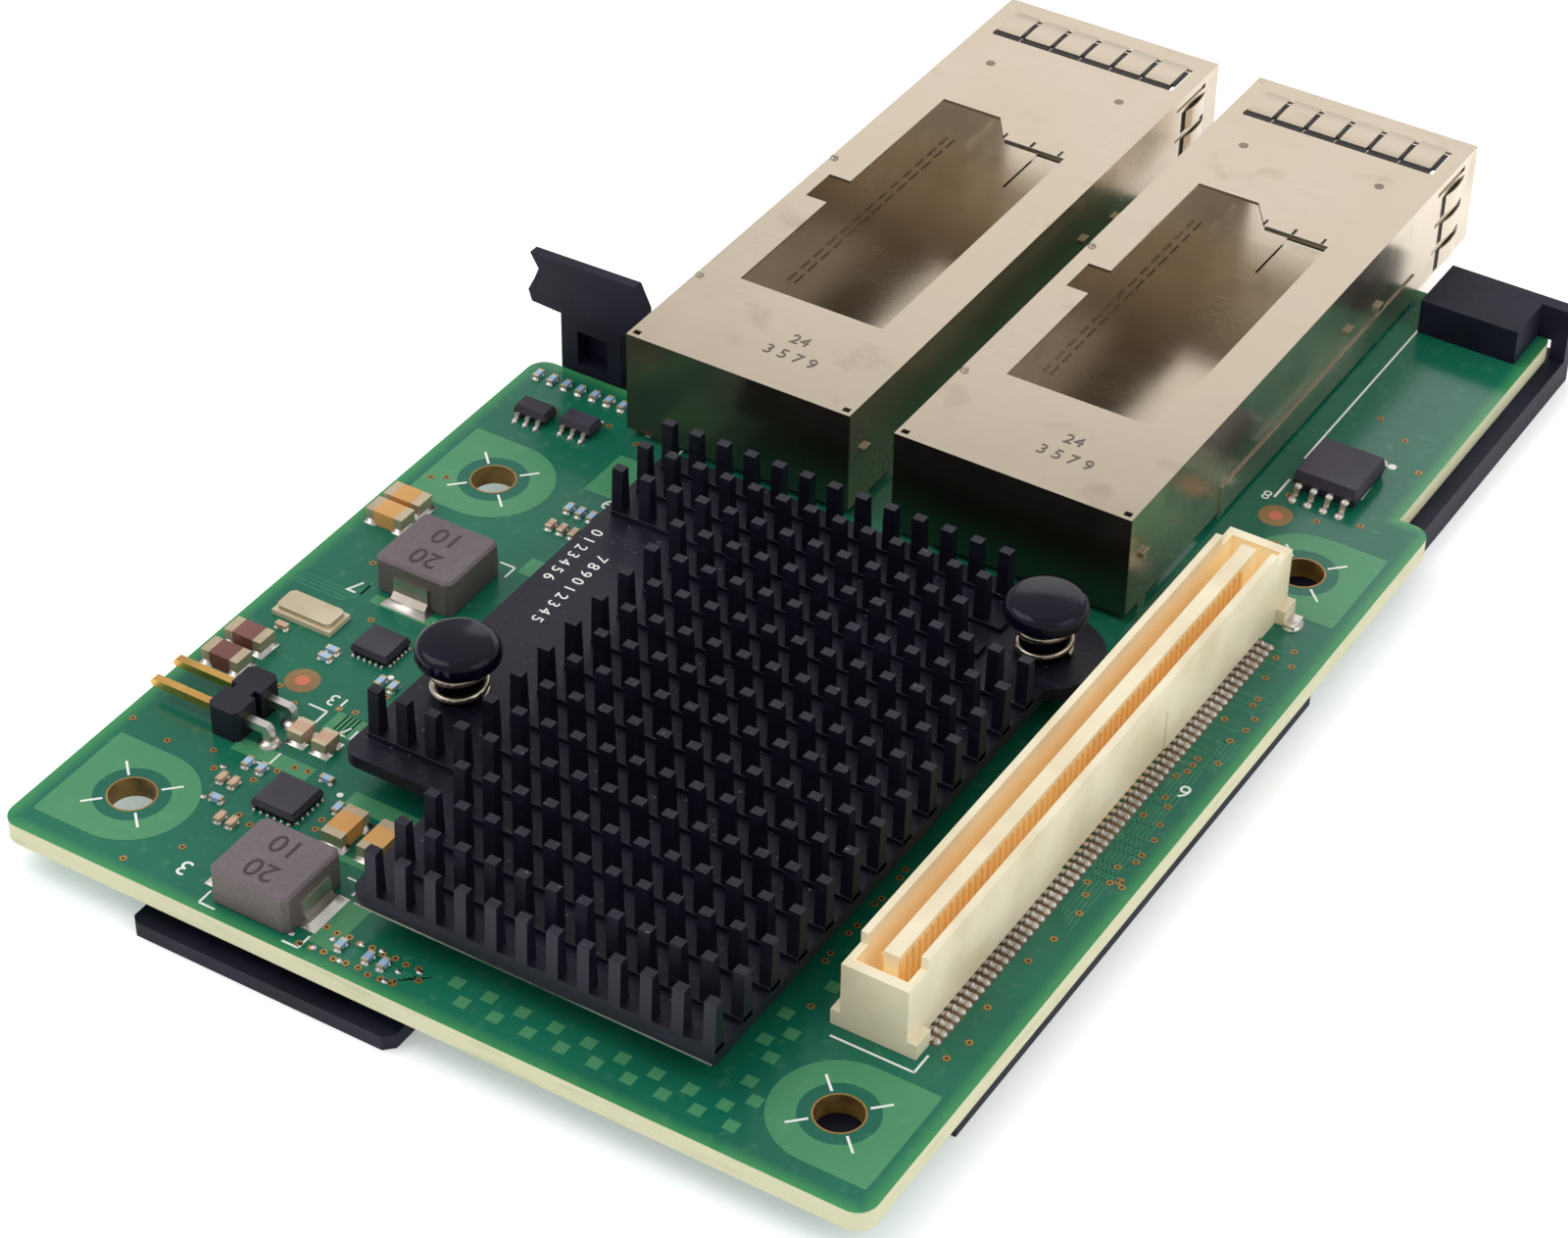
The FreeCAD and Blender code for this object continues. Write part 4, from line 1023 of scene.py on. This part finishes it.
for pin in pin_boxes:
    coils.loft([wire_loop(pin.x, pin.y, step / COIL_STEPS) for step in range(COIL_STEPS + 1)])
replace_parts(coils.finish("coil_springs", SPRING_STEEL, "spring_steel", smooth=True), "push_pin_springs")

# %% [markdown]
# A cage is stamped from plated sheet. Its mouth carries bowed spring fingers that ground it to the chassis.
# Each is a strip skinned through nine sections and bowed by a sine, with a thin dark skin of painted shade
# for the cut round it.

# %% Cage spring fingers
fingers, marks, seams, painted_gap_shade = Collector(), Collector(), Collector(), Collector()
TIP_BACK, ROOT_BACK = 5.25, 1.7
STRIP_T, GAP_SKIN = 0.14, 0.02
TOP_CUTS, FIRST_CUT, CUT_PITCH, CUT_HALF = 6, 3.9, 2.79, 0.2
LEFT_RIM, RIGHT_RIM, NARROWEST = 1.35, 0.75, 1.6
SIDE_FINGERS, SIDE_FINGER_TALL = (0.9, 3.45, 5.95), 1.75
TOP_BOW, SIDE_BOW = 0.15, 0.3


def bowed(section, steps=8):
    fingers.loft([section(step / steps) for step in range(steps + 1)], top=True, bottom=True)


def top_finger(cage, tip, root, a, b):
    def section(share):
        y = tip + (root - tip) * share
        z = cage.z1 + TOP_BOW * math.sin(math.pi * (0.2 + 0.8 * share)) + 0.02 * (1 - share)
        return [(a, y, z), (b, y, z), (b, y, z - STRIP_T), (a, y, z - STRIP_T)]

    bowed(section)
    # painted shade: a dark skin for the cut round the finger's tip and the shadow under it
    painted_gap_shade.box(a - 0.18, b + 0.18, tip - 0.62, tip + 0.25, cage.z1, cage.z1 + GAP_SKIN)


def side_finger(tip, root, wall, out, low):
    high = low + SIDE_FINGER_TALL

    def section(share):
        y = tip - 0.6 + (root - tip + 0.2) * share
        x = wall + out * SIDE_BOW * math.sin(math.pi * (0.1 + 0.9 * share)) ** 0.9
        return [(x, y, low), (x, y, high), (x - out * STRIP_T, y, high), (x - out * STRIP_T, y, low)]

    bowed(section)
    # painted shade: a dark skin for the cut beside the side finger
    painted_gap_shade.box(*sorted((wall, wall + out * GAP_SKIN)), tip - 1.1, tip - 0.3, low - 0.1, high + 0.1)


for cage in CAGES:
    tip, root = cage.y1 - TIP_BACK, cage.y1 - ROOT_BACK
    cuts = [cage.x0 + FIRST_CUT + CUT_PITCH * i for i in range(TOP_CUTS)]
    edges = [cage.x0 + LEFT_RIM] + cuts + [cage.x1 - RIGHT_RIM]
    for a, b in zip(edges, edges[1:]):
        if b - a >= NARROWEST:
            top_finger(cage, tip, root, a + CUT_HALF, b - CUT_HALF)
    for x in cuts:
        # painted shade: dark skins for the cuts between the fingers
        painted_gap_shade.box(x - CUT_HALF, x + CUT_HALF, tip, root - 0.9, cage.z1, cage.z1 + GAP_SKIN)
    for wall, out in ((cage.x0, -1), (cage.x1, 1)):
        for low in SIDE_FINGERS:
            side_finger(tip, root, wall, out, low)
print("fingers", len(fingers.faces), "faces")

# %% [markdown]
# Behind the mouth the sheet carries small pressed stops, tabs and the folded flange of the floor sheet.
# Slits ahead of the cooling window are dark skins of painted shade, a row of dashes runs along the floor's
# seam, and a sprung tongue lies in the floor's latch opening.

# %% Cage stops, seams and slits
FLANGE_T, TAB_OUT, TAB_HALF = 0.14, 0.3, (0.5, 0.25)
DASHES, DASH_PITCH, DASH_LONG = 13, 2.0, 1.3

for cage in CAGES:
    mouth, top = cage.y1, cage.z1
    for wall, out in ((cage.x0, -1), (cage.x1, 1)):
        seams.box(*sorted((wall, wall + out * FLANGE_T)), mouth - 44.0, mouth - 10.5, cage.z0 + 0.3, 2.9)
        for y, z in ((cage.y0 + 2.3, 5.0), (mouth - 22.8, 4.6), (mouth - 17.3, 3.7)):
            seams.box(*sorted((wall, wall + out * TAB_OUT)), y - TAB_HALF[0], y + TAB_HALF[0],
                      z - TAB_HALF[1], z + TAB_HALF[1])
    for x, y in ((cage.x0 + 3.6, mouth - 10.1), (cage.x0 + 15.3, mouth - 9.7)):
        marks.disc(x, y, 0.4, top, top + 0.012)
    # painted shade: dark skins for the slits ahead of the cooling window
    for x, half in ((cage.x0 + 10.1, 0.1), (cage.x0 + 12.6, 0.12), (cage.x0 + 15.1, 0.1)):
        painted_gap_shade.box(x - half, x + half, mouth - 19.6, mouth - 18.8, top, top + GAP_SKIN)
    painted_gap_shade.box(cage.x0 + 10.4, cage.x1 - 3.7, mouth - 19.92, mouth - 19.7, top, top + GAP_SKIN)
    for step in range(DASHES):
        near = mouth - 35.5 + DASH_PITCH * step
        marks.box(cage.x0 + 0.5, cage.x0 + 0.66, near, near + DASH_LONG, top - 8.36, top - 8.3)
    seams.box(cage.x - 2.08, cage.x + 2.08, mouth - 14.2, mouth - 8.6, 0.63, 0.78)
    for y in (cage.y0 + 9.6, cage.y0 + 29.3):
        seams.dome(cage.x0 + 0.35, y, 0.35, 0.35, 0.22, top)
fingers.finish("spring_fingers", CAGE_METAL, "cage_metal", edge=0.03)
seams.finish("cage_seams", CAGE_METAL, "cage_metal", edge=0.04)
marks.finish("pressed_stops", STOP_DARK, "cage_metal")
painted_gap_shade.finish("painted_finger_gap_shade", PAINTED_HOLE_SHADE, "cage_metal")

# %% [markdown]
# The cooler's pins stand on low ribs, left where the saw crossed the extrusion, and each has a
# wider shoulder at its foot. The lower edges at the rear and the left are bare metal, trimmed
# after dyeing.

# %% Bare edges and rib shoulders of the cooler
ribs, bare = Collector(), Collector()
sink = span("heatsink")
SINK_EDGE_X, CLIP_EDGE_X, CLIP_FROM_Y = 54.6, 49.0, 45.6
RIBS, RIB_PITCH, RIB_HALF, RIB_Z = 16, 3.29, 0.66, (1.0, 1.42)
RIB_STARTS = [27.85] * 4 + [18.45] + [25.5] * 8 + [18.45] * 3

for row in range(RIBS):
    y = sink.y0 + 0.55 + RIB_PITCH * row
    end = CLIP_EDGE_X if y > CLIP_FROM_Y else SINK_EDGE_X
    rear = max(y - RIB_HALF, sink.y0)
    ribs.box(RIB_STARTS[row], end, rear, y + RIB_HALF, sink.z0 + RIB_Z[0], sink.z0 + RIB_Z[1])
bare.box(26.9, SINK_EDGE_X - 0.2, sink.y0 - 0.03, sink.y0 + 0.05, sink.z0, sink.z0 + 0.13)
bare.box(sink.x0 - 0.02, sink.x0 + 0.04, 17.0, 48.0, sink.z0 + 0.05, sink.z0 + 0.13)
ribs.finish("rib_shoulders", ANODISED, "anodised_black", edge=0.04)
bare.finish("bare_lower_edge", BARE_ALUMINIUM, "anodised_black")

# %% [markdown]
# The studio is a white floor, a broad soft light above the left side, a weaker one from the
# right, a low one from beyond the cages, and a bright surround, which is what bright metal needs
# to look like metal.

# %% Floor and lights
FLOOR_REACH, FLOOR_GAP = 3000.0, 0.01
WHITE = tone(255, 255, 255)
BOARD_MIDDLE = (34, 55, 0)
LIGHTS = (("key", (-250, -60, 430), (380, 380), 0.95), ("fill", (360, 60, 260), (300, 300), 0.3),
          ("rim", (-60, 420, 200), (300, 160), 0.2))

floor_z = min(span("insulator_plate").z0, span("front_bracket").z0)
floor_mesh = bpy.data.meshes.new("floor")
corners = [place(x * FLOOR_REACH, y * FLOOR_REACH, floor_z - FLOOR_GAP)
           for x, y in ((-1, -1), (1, -1), (1, 1), (-1, 1))]
floor_mesh.from_pydata([tuple(corner) for corner in corners], [], [(0, 1, 2, 3)])
floor_finish = Finish("floor_pale", WHITE, 0.9, Emission_Color=WHITE, Emission_Strength=0.3)
floor_mesh.materials.append(floor_finish.material)
floor = bpy.data.objects.new("floor", floor_mesh)
scene.collection.objects.link(floor)

for name, at, size, power in LIGHTS:
    data = bpy.data.lights.new(name, "AREA")
    data.shape = "RECTANGLE"
    data.size, data.size_y = size[0] * MM, size[1] * MM
    data.energy = power
    light = bpy.data.objects.new(name, data)
    light.location = place(*at)
    light.rotation_mode = "QUATERNION"
    light.rotation_quaternion = (place(*BOARD_MIDDLE) - place(*at)).to_track_quat("-Z", "Y")
    scene.collection.objects.link(light)
world = bpy.data.worlds.new("studio")
world.use_nodes = True
surround = world.node_tree.nodes["Background"].inputs
surround["Color"].default_value = WHITE
surround["Strength"].default_value = 0.66
scene.world = world
scene.view_settings.view_transform = "Standard"
print("floor at", round(floor_z, 2))
